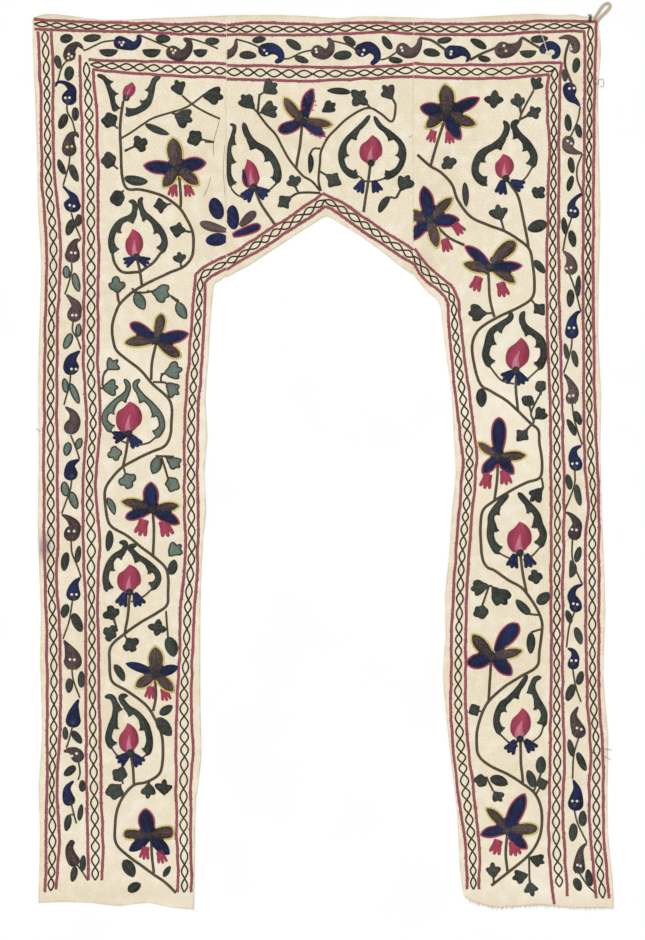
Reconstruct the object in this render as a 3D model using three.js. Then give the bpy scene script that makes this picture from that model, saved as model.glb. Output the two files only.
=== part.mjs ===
// Embroidered door surround in the shape of a pointed arch, laid flat and face up, top edge towards +Y.
// Three loom widths of cotton meet edge to edge, and a narrow tape loop is sewn to the top right corner.
// Millimetres, +Z up. The edge tables are measured from the middle of the cloth's length and width.

import * as THREE from 'three';

// Driving sizes
const CLOTH_THICKNESS = 2;
const SEAM_GAP = 0.3; // between two pieces that are sewn together
const LEFT_SEAM_X = -233;
const RIGHT_SEAM_X = 216;
const ARCH_POINT = { x: 8, y: 577 };
const LEFT_SEAM_FOOT_Y = 428; // where each seam meets the edge of the arch
const RIGHT_SEAM_FOOT_Y = 435;
const LEFT_SEAM_TOP_Y = 1056;
const RIGHT_SEAM_TOP_Y = 1051;
const EDGE_STEPS = 2; // straight runs between two rows of an edge table

const TAPE_WIDTH = 7.2;
const TAPE_THICKNESS = 2.4;
const TAPE_STEPS = 36; // straight runs along the whole loop
const LOOP_LEAN = THREE.MathUtils.degToRad(40); // from +Y towards +X
const LOOP_SEAT_START = { x: 650, y: 1051 }; // top end of the cut corner that holds the loop
const LOOP_SEAT_LENGTH = 14;

const CLOTH_COLOUR = 0xefe3c4;
const TAPE_COLOUR = 0xc9b694;
const WOVEN_ROUGHNESS = 0.95;

// Corners that two edges share
const leftSeam = { x: LEFT_SEAM_X - SEAM_GAP / 2 };
const crownLeft = { x: LEFT_SEAM_X + SEAM_GAP / 2 };
const crownRight = { x: RIGHT_SEAM_X - SEAM_GAP / 2 };
const rightSeam = { x: RIGHT_SEAM_X + SEAM_GAP / 2 };
const topLeftCorner = { x: -697, y: 1048 };
const leftHemOuter = { x: -683, y: -1074 };
const leftHemInner = { x: -310, y: -1090 };
const leftShoulder = { x: -264, y: 400 };
const rightShoulder = { x: 283, y: 352 };
const rightHemInner = { x: 338, y: -1058 };
const rightHemOuter = { x: 698, y: -1086 };
const loopSeatEnd = {
  x: LOOP_SEAT_START.x + LOOP_SEAT_LENGTH * Math.cos(LOOP_LEAN),
  y: LOOP_SEAT_START.y - LOOP_SEAT_LENGTH * Math.sin(LOOP_LEAN),
};

// Edges of the left panel, one row for each place where the edge changes its line
const LEFT_TOP = [
  { ...leftSeam, y: LEFT_SEAM_TOP_Y },
  { x: -300, y: 1053 },
  { x: -410, y: 1049 },
  { x: -526, y: 1045 },
  { x: -598, y: 1054 },
  { x: -672, y: 1059 },
  topLeftCorner,
];
const LEFT_OUTER = [
  topLeftCorner,
  { x: -696, y: 973 },
  { x: -691, y: 860 },
  { x: -686, y: 709 },
  { x: -684, y: 589 },
  { x: -677, y: 469 },
  { x: -679, y: 349 },
  { x: -684, y: 169 },
  { x: -682, y: 0 },
  { x: -684, y: -190 },
  { x: -677, y: -371 },
  { x: -679, y: -491 },
  { x: -674, y: -671 },
  { x: -682, y: -791 },
  { x: -679, y: -911 },
  leftHemOuter,
];
const LEFT_HEM = [
  leftHemOuter,
  { x: -655, y: -1072 },
  { x: -559, y: -1073 },
  { x: -492, y: -1081 },
  { x: -421, y: -1073 },
  { x: -375, y: -1083 },
  leftHemInner,
];
const LEFT_INNER = [
  leftHemInner,
  { x: -308, y: -960 },
  { x: -306, y: -830 },
  { x: -293, y: -731 },
  { x: -295, y: -610 },
  { x: -295, y: -371 },
  { x: -288, y: -191 },
  { x: -281, y: -131 },
  { x: -286, y: -41 },
  { x: -278, y: 49 },
  { x: -283, y: 139 },
  { x: -276, y: 229 },
  { x: -271, y: 320 },
  leftShoulder,
];
const LEFT_SHOULDER = [
  leftShoulder,
  { x: -261, y: 412 },
  { x: -247, y: 421 },
  { ...leftSeam, y: LEFT_SEAM_FOOT_Y },
];

// Edges of the crown panel
const CROWN_TOP = [
  { ...crownRight, y: RIGHT_SEAM_TOP_Y },
  { x: 140, y: 1053 },
  { x: 80, y: 1053 },
  { x: 52, y: 1049 },
  { x: -30, y: 1054 },
  { x: -115, y: 1057 },
  { ...crownLeft, y: LEFT_SEAM_TOP_Y },
];
const ARCH_LEFT = [
  { ...crownLeft, y: LEFT_SEAM_FOOT_Y },
  { x: -202, y: 444 },
  { x: -175, y: 459 },
  { x: -67, y: 530 },
  ARCH_POINT,
];
const ARCH_RIGHT = [
  ARCH_POINT,
  { x: 89, y: 528 },
  { x: 166, y: 471 },
  { x: 187, y: 453 },
  { ...crownRight, y: RIGHT_SEAM_FOOT_Y },
];

// Edges of the right panel
const RIGHT_TOP = [
  LOOP_SEAT_START,
  { x: 619, y: 1055 },
  { x: 600, y: 1059 },
  { x: 571, y: 1056 },
  { x: 516, y: 1060 },
  { x: 374, y: 1053 },
  { x: 286, y: 1048 },
  { ...rightSeam, y: RIGHT_SEAM_TOP_Y },
];
const RIGHT_SHOULDER = [
  { ...rightSeam, y: RIGHT_SEAM_FOOT_Y },
  { x: 235, y: 411 },
  { x: 257, y: 387 },
  { x: 276, y: 374 },
  rightShoulder,
];
const RIGHT_INNER = [
  rightShoulder,
  { x: 290, y: 289 },
  { x: 298, y: 229 },
  { x: 309, y: 150 },
  { x: 314, y: 49 },
  { x: 319, y: -41 },
  { x: 310, y: -131 },
  { x: 302, y: -251 },
  { x: 293, y: -341 },
  { x: 295, y: -431 },
  { x: 288, y: -521 },
  { x: 295, y: -611 },
  { x: 307, y: -731 },
  { x: 322, y: -851 },
  { x: 329, y: -990 },
  rightHemInner,
];
const RIGHT_HEM = [
  rightHemInner,
  { x: 367, y: -1074 },
  { x: 422, y: -1085 },
  { x: 514, y: -1079 },
  { x: 588, y: -1085 },
  rightHemOuter,
];
const RIGHT_OUTER = [
  rightHemOuter,
  { x: 695, y: -1020 },
  { x: 684, y: -911 },
  { x: 682, y: -790 },
  { x: 684, y: -671 },
  { x: 672, y: -530 },
  { x: 677, y: -371 },
  { x: 672, y: -220 },
  { x: 665, y: 20 },
  { x: 667, y: 140 },
  { x: 660, y: 289 },
  { x: 662, y: 440 },
  { x: 665, y: 589 },
  { x: 660, y: 829 },
  { x: 661, y: 900 },
  { x: 667, y: 973 },
  loopSeatEnd,
];

// Middle line of the loop's tape: how far along the lean, and how far each strand stands to its side
const LOOP_STRANDS = [
  { along: 0, left: 4.6, right: 4.6 },
  { along: 14, left: 6.2, right: 5.2 },
  { along: 28, left: 8.2, right: 6.6 },
  { along: 39, left: 7.6, right: 7.2 },
  { along: 46, left: 4.6, right: 5.4 },
];
const LOOP_TIP = 48.8; // along the lean, at the middle line

const cloth = new THREE.MeshStandardMaterial({ color: CLOTH_COLOUR, roughness: WOVEN_ROUGHNESS, metalness: 0 });
const tape = new THREE.MeshStandardMaterial({ color: TAPE_COLOUR, roughness: WOVEN_ROUGHNESS, metalness: 0 });

// A smooth line through the rows of one table, as points on the plan
function smoothEdge(rows) {
  const knots = rows.map(({ x, y }) => new THREE.Vector3(x, y, 0));
  const curve = new THREE.CatmullRomCurve3(knots, false, 'centripetal');
  return curve.getPoints(EDGE_STEPS * (rows.length - 1)).map(({ x, y }) => new THREE.Vector2(x, y));
}

// A flat piece of cloth whose edges follow each other anticlockwise, each ending where the next begins
function clothPanel(name, edges) {
  const outline = edges.flatMap((edge) => smoothEdge(edge).slice(0, -1));
  const geometry = new THREE.ExtrudeGeometry(new THREE.Shape(outline), {
    depth: CLOTH_THICKNESS,
    bevelEnabled: false,
  });
  const panel = new THREE.Mesh(geometry, cloth);
  panel.name = name;
  return panel;
}

// The tape follows its middle line up one strand, round the tip and down the other
function tapeLoop() {
  const up = LOOP_STRANDS.map(({ along, left }) => new THREE.Vector3(-left, along, 0));
  const down = LOOP_STRANDS.map(({ along, right }) => new THREE.Vector3(right, along, 0)).reverse();
  const middle = new THREE.CatmullRomCurve3(
    [...up, new THREE.Vector3(0, LOOP_TIP, 0), ...down],
    false,
    'centripetal',
  );
  const leftSide = [];
  const rightSide = [];
  for (let step = 0; step <= TAPE_STEPS; step += 1) {
    const { x, y } = middle.getPointAt(step / TAPE_STEPS);
    // both ends leave the cloth square to the cut corner
    const isEnd = step === 0 || step === TAPE_STEPS;
    const way = isEnd ? new THREE.Vector3(0, step === 0 ? 1 : -1, 0) : middle.getTangentAt(step / TAPE_STEPS);
    const aside = new THREE.Vector2(-way.y, way.x).multiplyScalar(TAPE_WIDTH / 2);
    leftSide.push(new THREE.Vector2(x, y).add(aside));
    rightSide.push(new THREE.Vector2(x, y).sub(aside));
  }
  const geometry = new THREE.ExtrudeGeometry(new THREE.Shape([...rightSide, ...leftSide.reverse()]), {
    depth: TAPE_THICKNESS,
    bevelEnabled: false,
  });
  const loop = new THREE.Mesh(geometry, tape);
  loop.name = 'hanging_loop';
  loop.rotation.z = -LOOP_LEAN;
  loop.position.set(
    (LOOP_SEAT_START.x + loopSeatEnd.x) / 2 + SEAM_GAP * Math.sin(LOOP_LEAN),
    (LOOP_SEAT_START.y + loopSeatEnd.y) / 2 + SEAM_GAP * Math.cos(LOOP_LEAN),
    0,
  );
  return loop;
}

const leftSeamEdge = [
  { ...leftSeam, y: LEFT_SEAM_FOOT_Y },
  { ...leftSeam, y: LEFT_SEAM_TOP_Y },
];
const crownLeftSeamEdge = [
  { ...crownLeft, y: LEFT_SEAM_TOP_Y },
  { ...crownLeft, y: LEFT_SEAM_FOOT_Y },
];
const crownRightSeamEdge = [
  { ...crownRight, y: RIGHT_SEAM_FOOT_Y },
  { ...crownRight, y: RIGHT_SEAM_TOP_Y },
];
const rightSeamEdge = [
  { ...rightSeam, y: RIGHT_SEAM_TOP_Y },
  { ...rightSeam, y: RIGHT_SEAM_FOOT_Y },
];
const loopSeatEdge = [loopSeatEnd, LOOP_SEAT_START];

const surround = new THREE.Group();
surround.add(
  clothPanel('left_panel', [LEFT_TOP, LEFT_OUTER, LEFT_HEM, LEFT_INNER, LEFT_SHOULDER, leftSeamEdge]),
  clothPanel('crown_panel', [CROWN_TOP, crownLeftSeamEdge, ARCH_LEFT, ARCH_RIGHT, crownRightSeamEdge]),
  clothPanel('right_panel', [
    RIGHT_TOP,
    rightSeamEdge,
    RIGHT_SHOULDER,
    RIGHT_INNER,
    RIGHT_HEM,
    RIGHT_OUTER,
    loopSeatEdge,
  ]),
  tapeLoop(),
);

// The origin is on the ground, under the middle of the whole piece
const middle = new THREE.Box3().setFromObject(surround, true).getCenter(new THREE.Vector3());
surround.position.set(-middle.x, -middle.y, 0);

export default surround;
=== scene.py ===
import bpy
import numpy as np
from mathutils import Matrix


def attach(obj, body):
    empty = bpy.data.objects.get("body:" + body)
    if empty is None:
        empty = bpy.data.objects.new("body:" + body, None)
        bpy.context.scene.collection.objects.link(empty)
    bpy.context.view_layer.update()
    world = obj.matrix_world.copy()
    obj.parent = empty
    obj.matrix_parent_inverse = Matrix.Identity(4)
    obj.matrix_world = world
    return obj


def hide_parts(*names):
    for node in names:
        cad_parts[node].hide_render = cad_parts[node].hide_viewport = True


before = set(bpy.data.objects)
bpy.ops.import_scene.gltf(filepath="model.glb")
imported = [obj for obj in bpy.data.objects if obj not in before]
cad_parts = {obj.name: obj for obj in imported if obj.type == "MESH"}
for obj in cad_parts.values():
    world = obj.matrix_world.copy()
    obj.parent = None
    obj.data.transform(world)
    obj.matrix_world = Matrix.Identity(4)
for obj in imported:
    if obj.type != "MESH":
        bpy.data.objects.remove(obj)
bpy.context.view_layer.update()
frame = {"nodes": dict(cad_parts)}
chance = np.random.default_rng(41)  # one seeded source, so every run sews the same stitches
print("frame loaded:", ", ".join(frame["nodes"]))

# where a photo pixel lies on the cloth, in millimetres
photo = {"width": 645, "height": 940, "pixel": 2.4, "originX": 323.2, "originY": 455.7}
mm = 0.001


def onCloth(points):
    # pixels to millimetres: x to the right and y up, from the origin of the frame
    p = np.asarray(points, float)
    x = (p[..., 0] - photo["originX"]) * photo["pixel"]
    y = (photo["originY"] - p[..., 1]) * photo["pixel"]
    return np.stack([x, y], -1)


def linearColour(code):
    # screen hex to linear light, channel by channel
    c = np.array([int(code[i:i + 2], 16) for i in (0, 2, 4)]) / 255
    c = np.where(c < 0.04045, c / 12.92, ((c + 0.055) / 1.055) ** 2.4)
    return (float(c[0]), float(c[1]), float(c[2]), 1.0)


# camera, lights and floor
shot = {"lens": 100.0, "sensor": 36.0, "planeHigh": 0.0015, "skyColour": "FFFFFF", "skyStrength": 0.74,
        "keyStrength": 1.15, "keyAngle": 24.0, "keyTilt": (26.0, -24.0), "floorColour": "FAFAFA",
        "floorPale": (0.98, 0.98, 0.98, 1.0), "floorHalf": 7.0, "floorPoints": 9, "floorHigh": -0.6,
        "floorRough": 0.95}

scene = bpy.context.scene
scene.view_settings.view_transform = "Standard"
centre = onCloth((photo["width"] / 2, photo["height"] / 2)) * mm
cameraData = bpy.data.cameras.new("camera")
cameraData.sensor_fit = "VERTICAL"
cameraData.sensor_height = shot["sensor"]
cameraData.lens = shot["lens"]
camera = bpy.data.objects.new("camera", cameraData)
away = photo["height"] * photo["pixel"] * mm * shot["lens"] / shot["sensor"]
camera.location = (centre[0], centre[1], away + shot["planeHigh"])
scene.collection.objects.link(camera)
scene.camera = camera

world = bpy.data.worlds.new("studio")
world.use_nodes = True
sky = world.node_tree.nodes["Background"]
sky.inputs["Color"].default_value = linearColour(shot["skyColour"])
sky.inputs["Strength"].default_value = shot["skyStrength"]
scene.world = world

keyData = bpy.data.lights.new("key", "SUN")
keyData.energy = shot["keyStrength"]
keyData.angle = np.radians(shot["keyAngle"])
key = bpy.data.objects.new("key", keyData)
key.rotation_euler = (np.radians(shot["keyTilt"][1]), -np.radians(shot["keyTilt"][0]), 0)
scene.collection.objects.link(key)


def makeMesh(name, points, faces, maps=None, values=None):
    # whole arrays into one mesh: points in millimetres, faces all with the same number of corners
    mesh = bpy.data.meshes.new(name)
    corners = faces.shape[1]
    mesh.vertices.add(len(points))
    mesh.vertices.foreach_set("co", (points * mm).astype(np.float32).ravel())
    mesh.loops.add(faces.size)
    mesh.loops.foreach_set("vertex_index", faces.astype(np.int32).ravel())
    mesh.polygons.add(len(faces))
    mesh.polygons.foreach_set("loop_start", np.arange(0, faces.size, corners, dtype=np.int32))
    mesh.polygons.foreach_set("use_smooth", np.ones(len(faces), bool))
    mesh.update(calc_edges=True)
    for title, uv in (maps or {}).items():
        layer = mesh.uv_layers.new(name=title)
        layer.data.foreach_set("uv", uv[faces.ravel()].astype(np.float32).ravel())
    for title, value in (values or {}).items():
        mesh.attributes.new(title, "FLOAT", "POINT").data.foreach_set("value", value.astype(np.float32))
    mesh.validate()
    piece = bpy.data.objects.new(name, mesh)
    scene.collection.objects.link(piece)
    return piece


def gridFaces(rows, columns):
    # quads of a grid of points, counted row by row, facing up when x grows along a row and y from row to row
    at = np.arange(rows * columns).reshape(rows, columns)
    return np.stack([at[:-1, :-1], at[:-1, 1:], at[1:, 1:], at[1:, :-1]], -1).reshape(-1, 4)


def tubeFaces(stations, sides):
    # triangles of a tube: two for each quad between neighbouring rings, then a fan over each end
    at = np.arange(stations * sides).reshape(stations, sides)
    nxt = np.roll(at, -1, 1)
    quads = np.stack([at[:-1], nxt[:-1], nxt[1:], at[1:]], -1).reshape(-1, 4)
    k = np.arange(1, sides - 1)
    fan = np.stack([np.zeros_like(k), k, k + 1], -1)
    return np.vstack([quads[:, [0, 1, 2]], quads[:, [0, 2, 3]], fan[:, ::-1], fan + at[-1, 0]])


# materials
matt = {"specular": 0.18, "sheenRoughness": 0.6}
yarnLook = {"roughness": 0.7, "sheen": 0.05, "bump": 0.35, "depth": 0.0004}


def newMaterial(name, roughness, sheen):
    material = bpy.data.materials.new(name)
    material.use_nodes = True
    tree = material.node_tree
    shader = tree.nodes["Principled BSDF"]
    shader.inputs["Roughness"].default_value = roughness
    shader.inputs["Specular IOR Level"].default_value = matt["specular"]
    shader.inputs["Sheen Weight"].default_value = sheen
    shader.inputs["Sheen Roughness"].default_value = matt["sheenRoughness"]
    return material, tree, shader


def addNode(tree, kind, sockets=None, **settings):
    node = tree.nodes.new(kind)
    for title, value in settings.items():
        setattr(node, title, value)
    for title, value in (sockets or {}).items():
        node.inputs[title].default_value = value
    return node


def feed(tree, socket, given):
    # a socket takes a link or a plain value
    if isinstance(given, bpy.types.NodeSocket):
        tree.links.new(given, socket)
    else:
        socket.default_value = given


def mixColour(tree, factor, first, second, blend="MIX"):
    # one colour over another; a factor or colour is a value or a socket
    node = addNode(tree, "ShaderNodeMix", data_type="RGBA", blend_type=blend)
    for slot, given in ((0, factor), (6, first), (7, second)):
        feed(tree, node.inputs[slot], given)
    return node.outputs[2]


def mathNode(tree, operation, first, second=0.0):
    node = addNode(tree, "ShaderNodeMath", operation=operation)
    for slot, given in ((0, first), (1, second)):
        feed(tree, node.inputs[slot], given)
    return node.outputs[0]


def rangeNode(tree, value, low, high, toLow=0.0, toHigh=1.0):
    ends = {1: low, 2: high, 3: toLow, 4: toHigh}
    node = addNode(tree, "ShaderNodeMapRange", ends, interpolation_type="SMOOTHSTEP")
    tree.links.new(value, node.inputs[0])
    return node.outputs[0]


def noiseNode(tree, vector, scale, stretch=(1, 1, 1), detail=2.0):
    mapping = addNode(tree, "ShaderNodeMapping", {"Scale": stretch})
    tree.links.new(vector, mapping.inputs["Vector"])
    noise = addNode(tree, "ShaderNodeTexNoise", {"Scale": scale, "Detail": detail})
    tree.links.new(mapping.outputs[0], noise.inputs["Vector"])
    return noise.outputs["Fac"]


def bumpInto(tree, shader, height, strength, distance):
    bump = addNode(tree, "ShaderNodeBump", {"Strength": strength, "Distance": distance})
    tree.links.new(height, bump.inputs["Height"])
    tree.links.new(bump.outputs[0], shader.inputs["Normal"])


def spunGroup():
    # fibres of a spun yarn: thin streaks along the strand's own map, and slow fading over the object
    group = bpy.data.node_groups.new("spunYarn", "ShaderNodeTree")
    for title, kind in (("Colour", "NodeSocketColor"), ("Shade", "NodeSocketColor"),
                        ("Tone", "NodeSocketFloat")):
        group.interface.new_socket(title, in_out="INPUT", socket_type=kind)
    for title, kind in (("Colour", "NodeSocketColor"), ("Height", "NodeSocketFloat"),
                        ("Roughness", "NodeSocketFloat")):
        group.interface.new_socket(title, in_out="OUTPUT", socket_type=kind)
    given = addNode(group, "NodeGroupInput")
    result = addNode(group, "NodeGroupOutput")
    strand = addNode(group, "ShaderNodeUVMap", uv_map="strand")
    place = addNode(group, "ShaderNodeTexCoord")
    streak = noiseNode(group, strand.outputs[0], 3.0, (1.2, 5.0, 1.0), 3.0)
    fade = noiseNode(group, place.outputs["Object"], 14.0, detail=3.0)
    total = mathNode(group, "ADD", given.outputs["Tone"], rangeNode(group, streak, 0.3, 0.7, -0.16, 0.16))
    total = mathNode(group, "ADD", total, rangeNode(group, fade, 0.3, 0.7, -0.2, 0.2))
    held = addNode(group, "ShaderNodeClamp")
    group.links.new(total, held.inputs[0])
    colour = mixColour(group, held.outputs[0], given.outputs["Shade"], given.outputs["Colour"])
    group.links.new(colour, result.inputs["Colour"])
    group.links.new(streak, result.inputs["Height"])
    group.links.new(rangeNode(group, fade, 0.3, 0.7, 0.62, 0.78), result.inputs["Roughness"])
    return group


spunYarn = spunGroup()


def yarnMaterial(name, light, shade):
    # thread or tape: the spun group between its light and shaded colour by each stitch's own tone
    material, tree, shader = newMaterial(name, yarnLook["roughness"], yarnLook["sheen"])
    node = addNode(tree, "ShaderNodeGroup", node_tree=spunYarn)
    node.inputs["Colour"].default_value = linearColour(light)
    node.inputs["Shade"].default_value = linearColour(shade)
    tone = addNode(tree, "ShaderNodeAttribute", attribute_name="tone")
    tree.links.new(tone.outputs["Fac"], node.inputs["Tone"])
    tree.links.new(node.outputs["Colour"], shader.inputs["Base Color"])
    tree.links.new(node.outputs["Roughness"], shader.inputs["Roughness"])
    bumpInto(tree, shader, node.outputs["Height"], yarnLook["bump"], yarnLook["depth"])
    return material


def cottonMaterial():
    # plain weave in the cloth's own map, slubs along warp and weft, mottling, stains, and a darker line along
    # each edge that is painted shade of the folded hem
    look = {"cream": "EDE2C9", "pale": "F7F0DF", "deep": "DDCCAA", "grain": "C2B08E", "stain": "B9937A",
            "smudge": "84828A", "edge": "C6B28E", "pick": 1.6, "edgeWidth": 0.004, "roughness": 0.92,
            "sheen": 0.1, "weaveHigh": 0.3, "slubHigh": 1.2, "bump": 0.3, "depth": 0.0006}
    material, tree, shader = newMaterial("cottonCloth", look["roughness"], look["sheen"])
    own = addNode(tree, "ShaderNodeUVMap", uv_map="weave")
    place = addNode(tree, "ShaderNodeTexCoord").outputs["Object"]
    parts = addNode(tree, "ShaderNodeSeparateXYZ")
    tree.links.new(own.outputs[0], parts.inputs[0])
    turns = 2 * np.pi / (look["pick"] * mm)
    warp = mathNode(tree, "SINE", mathNode(tree, "MULTIPLY", parts.outputs[0], turns))
    weft = mathNode(tree, "SINE", mathNode(tree, "MULTIPLY", parts.outputs[1], turns))
    weave = mathNode(tree, "MULTIPLY", warp, weft)
    mottle = noiseNode(tree, place, 34.0, detail=4.0)
    cloud = noiseNode(tree, place, 5.0, detail=3.0)
    warpSlub = noiseNode(tree, own.outputs[0], 9.0, (22.0, 1.3, 1.0), 3.0)
    weftSlub = noiseNode(tree, own.outputs[0], 9.0, (1.3, 22.0, 1.0), 3.0)
    cloudy = rangeNode(tree, cloud, 0.35, 0.7, 0.0, 0.4)
    clouded = mixColour(tree, cloudy, linearColour(look["cream"]), linearColour(look["deep"]))
    mottled = rangeNode(tree, mottle, 0.42, 0.72, 0.0, 0.6)
    speck = mixColour(tree, mottled, clouded, linearColour(look["pale"]))
    grain = noiseNode(tree, own.outputs[0], 330.0, (0.55, 1.2, 1.0), 2.0)
    grained = rangeNode(tree, grain, 0.46, 0.78, 0.0, 0.58)
    speck = mixColour(tree, grained, speck, linearColour(look["grain"]))
    slub = mathNode(tree, "ADD", warpSlub, weftSlub)
    slubbed = mixColour(tree, rangeNode(tree, slub, 1.05, 1.4, 0.0, 0.4), speck, linearColour(look["deep"]))
    stained = slubbed
    for title, colour in (("wash", "pale"), ("stain", "stain"), ("smudge", "smudge")):
        strength = addNode(tree, "ShaderNodeAttribute", attribute_name=title).outputs["Fac"]
        blotch = mathNode(tree, "MULTIPLY", strength, rangeNode(tree, mottle, 0.25, 0.7, 0.5, 1.0))
        stained = mixColour(tree, blotch, stained, linearColour(look[colour]))
    # painted shade: within edgeWidth of each edge the colour darkens in a ragged line towards the edge
    # colour, standing in for the shade of the folded hem; worn below carries this painted shade
    edge = addNode(tree, "ShaderNodeAttribute", attribute_name="edge").outputs["Fac"]
    ragged = mathNode(tree, "ADD", edge, rangeNode(tree, mottle, 0.3, 0.7, -0.002, 0.002))
    hemFoldShade = rangeNode(tree, ragged, 0.0, look["edgeWidth"], 0.4, 0.0)
    worn = mixColour(tree, hemFoldShade, stained, linearColour(look["edge"]))
    tree.links.new(worn, shader.inputs["Base Color"])
    tree.links.new(rangeNode(tree, mottle, 0.3, 0.7, 0.86, 0.97), shader.inputs["Roughness"])
    height = mathNode(tree, "ADD", mathNode(tree, "MULTIPLY", weave, look["weaveHigh"]),
                      mathNode(tree, "MULTIPLY", slub, look["slubHigh"]))
    bumpInto(tree, shader, height, look["bump"], look["depth"])
    return material


floorMaterial, floorTree, floorShader = newMaterial("paleFloor", shot["floorRough"], 0.0)
floorPlace = addNode(floorTree, "ShaderNodeTexCoord").outputs["Object"]
floorGrain = rangeNode(floorTree, noiseNode(floorTree, floorPlace, 3.0), 0.3, 0.7)
floorColour = linearColour(shot["floorColour"])
floorMix = mixColour(floorTree, floorGrain, floorColour, shot["floorPale"])
floorTree.links.new(floorMix, floorShader.inputs["Base Color"])
reach = np.linspace(-shot["floorHalf"], shot["floorHalf"], shot["floorPoints"]) / mm
floorX, floorY = np.meshgrid(reach, reach)
floorPoints = np.stack([floorX, floorY, np.full_like(floorX, shot["floorHigh"])], -1).reshape(-1, 3)
floor = makeMesh("floor", floorPoints, gridFaces(*floorX.shape))
floor.data.materials.append(floorMaterial)
print("camera, light and floor set")

# cloth: three loom widths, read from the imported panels
cloth = {"thickness": 0.9, "rest": 1.0, "topLine": 1040.0, "slowWave": 0.16, "legLine": 440.0,
         "shoulder": 0.2, "noEdge": 9.0, "faceDepth": 0.1}
panels = [
    {"name": "cloth_left", "node": "left_panel", "foot": -1055.0, "flat": (0.464, 2.150),
     "columns": 46, "rows": 210},
    {"name": "cloth_crown", "node": "crown_panel", "foot": 600.0, "flat": (0.449, 0.629),
     "columns": 46, "rows": 64},
    {"name": "cloth_right", "node": "right_panel", "foot": -1055.0, "flat": (0.482, 2.147),
     "columns": 46, "rows": 210},
]
# soft creases: the two ends of a ridge in the photo, how high and how wide it stands in millimetres
creases = [
    ((436, 249), (447.6, 262), 1.5, 5), ((439, 272), (447.6, 262), 1.1, 5),
    ((118, 300), (196, 286), 0.35, 16), ((60, 455), (200, 470), 0.35, 18), ((52, 700), (180, 690), 0.35, 18),
    ((480, 600), (600, 612), 0.35, 18), ((470, 765), (606, 772), 0.4, 18), ((300, 60), (306, 185), 0.35, 16),
    ((455, 60), (452, 240), 0.35, 16), ((150, 60), (156, 260), 0.3, 16),
]
# marks on the cloth, stained, washed paler or smudged grey: photo x and y, radius across and down, strength
marks = {
    "stain": [(51, 262, 10, 26, 0.16), (560, 330, 16, 22, 0.12), (120, 14, 110, 6, 0.34),
      (322, 13, 110, 6, 0.2), (510, 14, 90, 6, 0.36), (540, 904, 80, 8, 0.16), (130, 894, 80, 8, 0.14),
      (604, 200, 6, 160, 0.12), (240, 110, 16, 44, 0.08), (322, 208, 30, 6, 0.2), (425, 262, 12, 16, 0.14),
      (398, 180, 8, 10, 0.14)],
    "wash": [(510, 390, 60, 100, 0.6), (140, 410, 60, 120, 0.3), (450, 380, 10, 90, 0.6),
      (204, 420, 8, 110, 0.5), (140, 845, 60, 50, 0.3), (36, 320, 6, 160, 0.4), (604, 420, 6, 160, 0.4),
      (535, 890, 70, 24, 0.5)],
    "smudge": [(44, 547, 6, 11, 1.2), (531, 151, 9, 14, 0.1)],
}


def clothHeight(x, y):
    # top of the cloth: its rest height, three slow sine waves, and a bell across each crease
    high = cloth["rest"] + cloth["slowWave"] * (
        1.5 + np.sin(x / 61 + y / 170) + 0.7 * np.sin(y / 83 - x / 240 + 1.3)
        + 0.5 * np.sin(x / 37 - y / 52))
    for start, end, ridge, wide in creases:
        a = onCloth(start)
        d = onCloth(end) - a
        t = np.clip(((x - a[0]) * d[0] + (y - a[1]) * d[1]) / (d @ d), 0, 1)
        far = np.hypot(x - a[0] - t * d[0], y - a[1] - t * d[1])
        high = high + ridge * np.exp(-(far / wide) ** 2)
    return high


def panelSides(panel):
    # the four sides of a packed panel's top face: top and foot in order of x, left and right in order of y
    data = frame["nodes"][panel["node"]].data
    flat = np.empty(len(data.vertices) * 3, np.float32)
    data.vertices.foreach_get("co", flat)
    at = flat.reshape(-1, 3).astype(float) / mm
    rim = np.unique(np.round(at[at[:, 2] > at[:, 2].max() - cloth["faceDepth"], :2], 2), axis=0)
    isTop = rim[:, 1] > cloth["topLine"]
    isFoot = rim[:, 1] < panel["foot"]
    isLeft = rim[:, 0] < (rim[:, 0].min() + rim[:, 0].max()) / 2
    top = rim[isTop]
    foot = rim[isFoot]
    top = top[np.argsort(top[:, 0])]
    foot = foot[np.argsort(foot[:, 0])]
    left = np.vstack([foot[:1], rim[~isTop & ~isFoot & isLeft], top[:1]])
    right = np.vstack([foot[-1:], rim[~isTop & ~isFoot & ~isLeft], top[-1:]])
    return top, foot, left[np.argsort(left[:, 1])], right[np.argsort(right[:, 1])]


def coonsPatch(sides, columns, rows):
    # a surface between four sides: the two ruled surfaces added, less the one between the four corners
    top, foot, left, right = sides
    u = np.linspace(0, 1, columns + 1)
    v = np.linspace(0, 1, rows + 1)

    def across(side):
        x = side[0, 0] + u * (side[-1, 0] - side[0, 0])
        return np.stack([x, np.interp(x, side[:, 0], side[:, 1])], -1)[None]

    def upward(side):
        y = side[0, 1] + v * (side[-1, 1] - side[0, 1])
        return np.stack([np.interp(y, side[:, 1], side[:, 0]), y], -1)[:, None]

    over, under, near, off = across(top), across(foot), upward(left), upward(right)
    u = u[None, :, None]
    v = v[:, None, None]
    corners = (1 - u) * ((1 - v) * foot[0] + v * top[0]) + u * ((1 - v) * foot[-1] + v * top[-1])
    return (1 - v) * under + v * over + (1 - u) * near + u * off - corners


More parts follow.
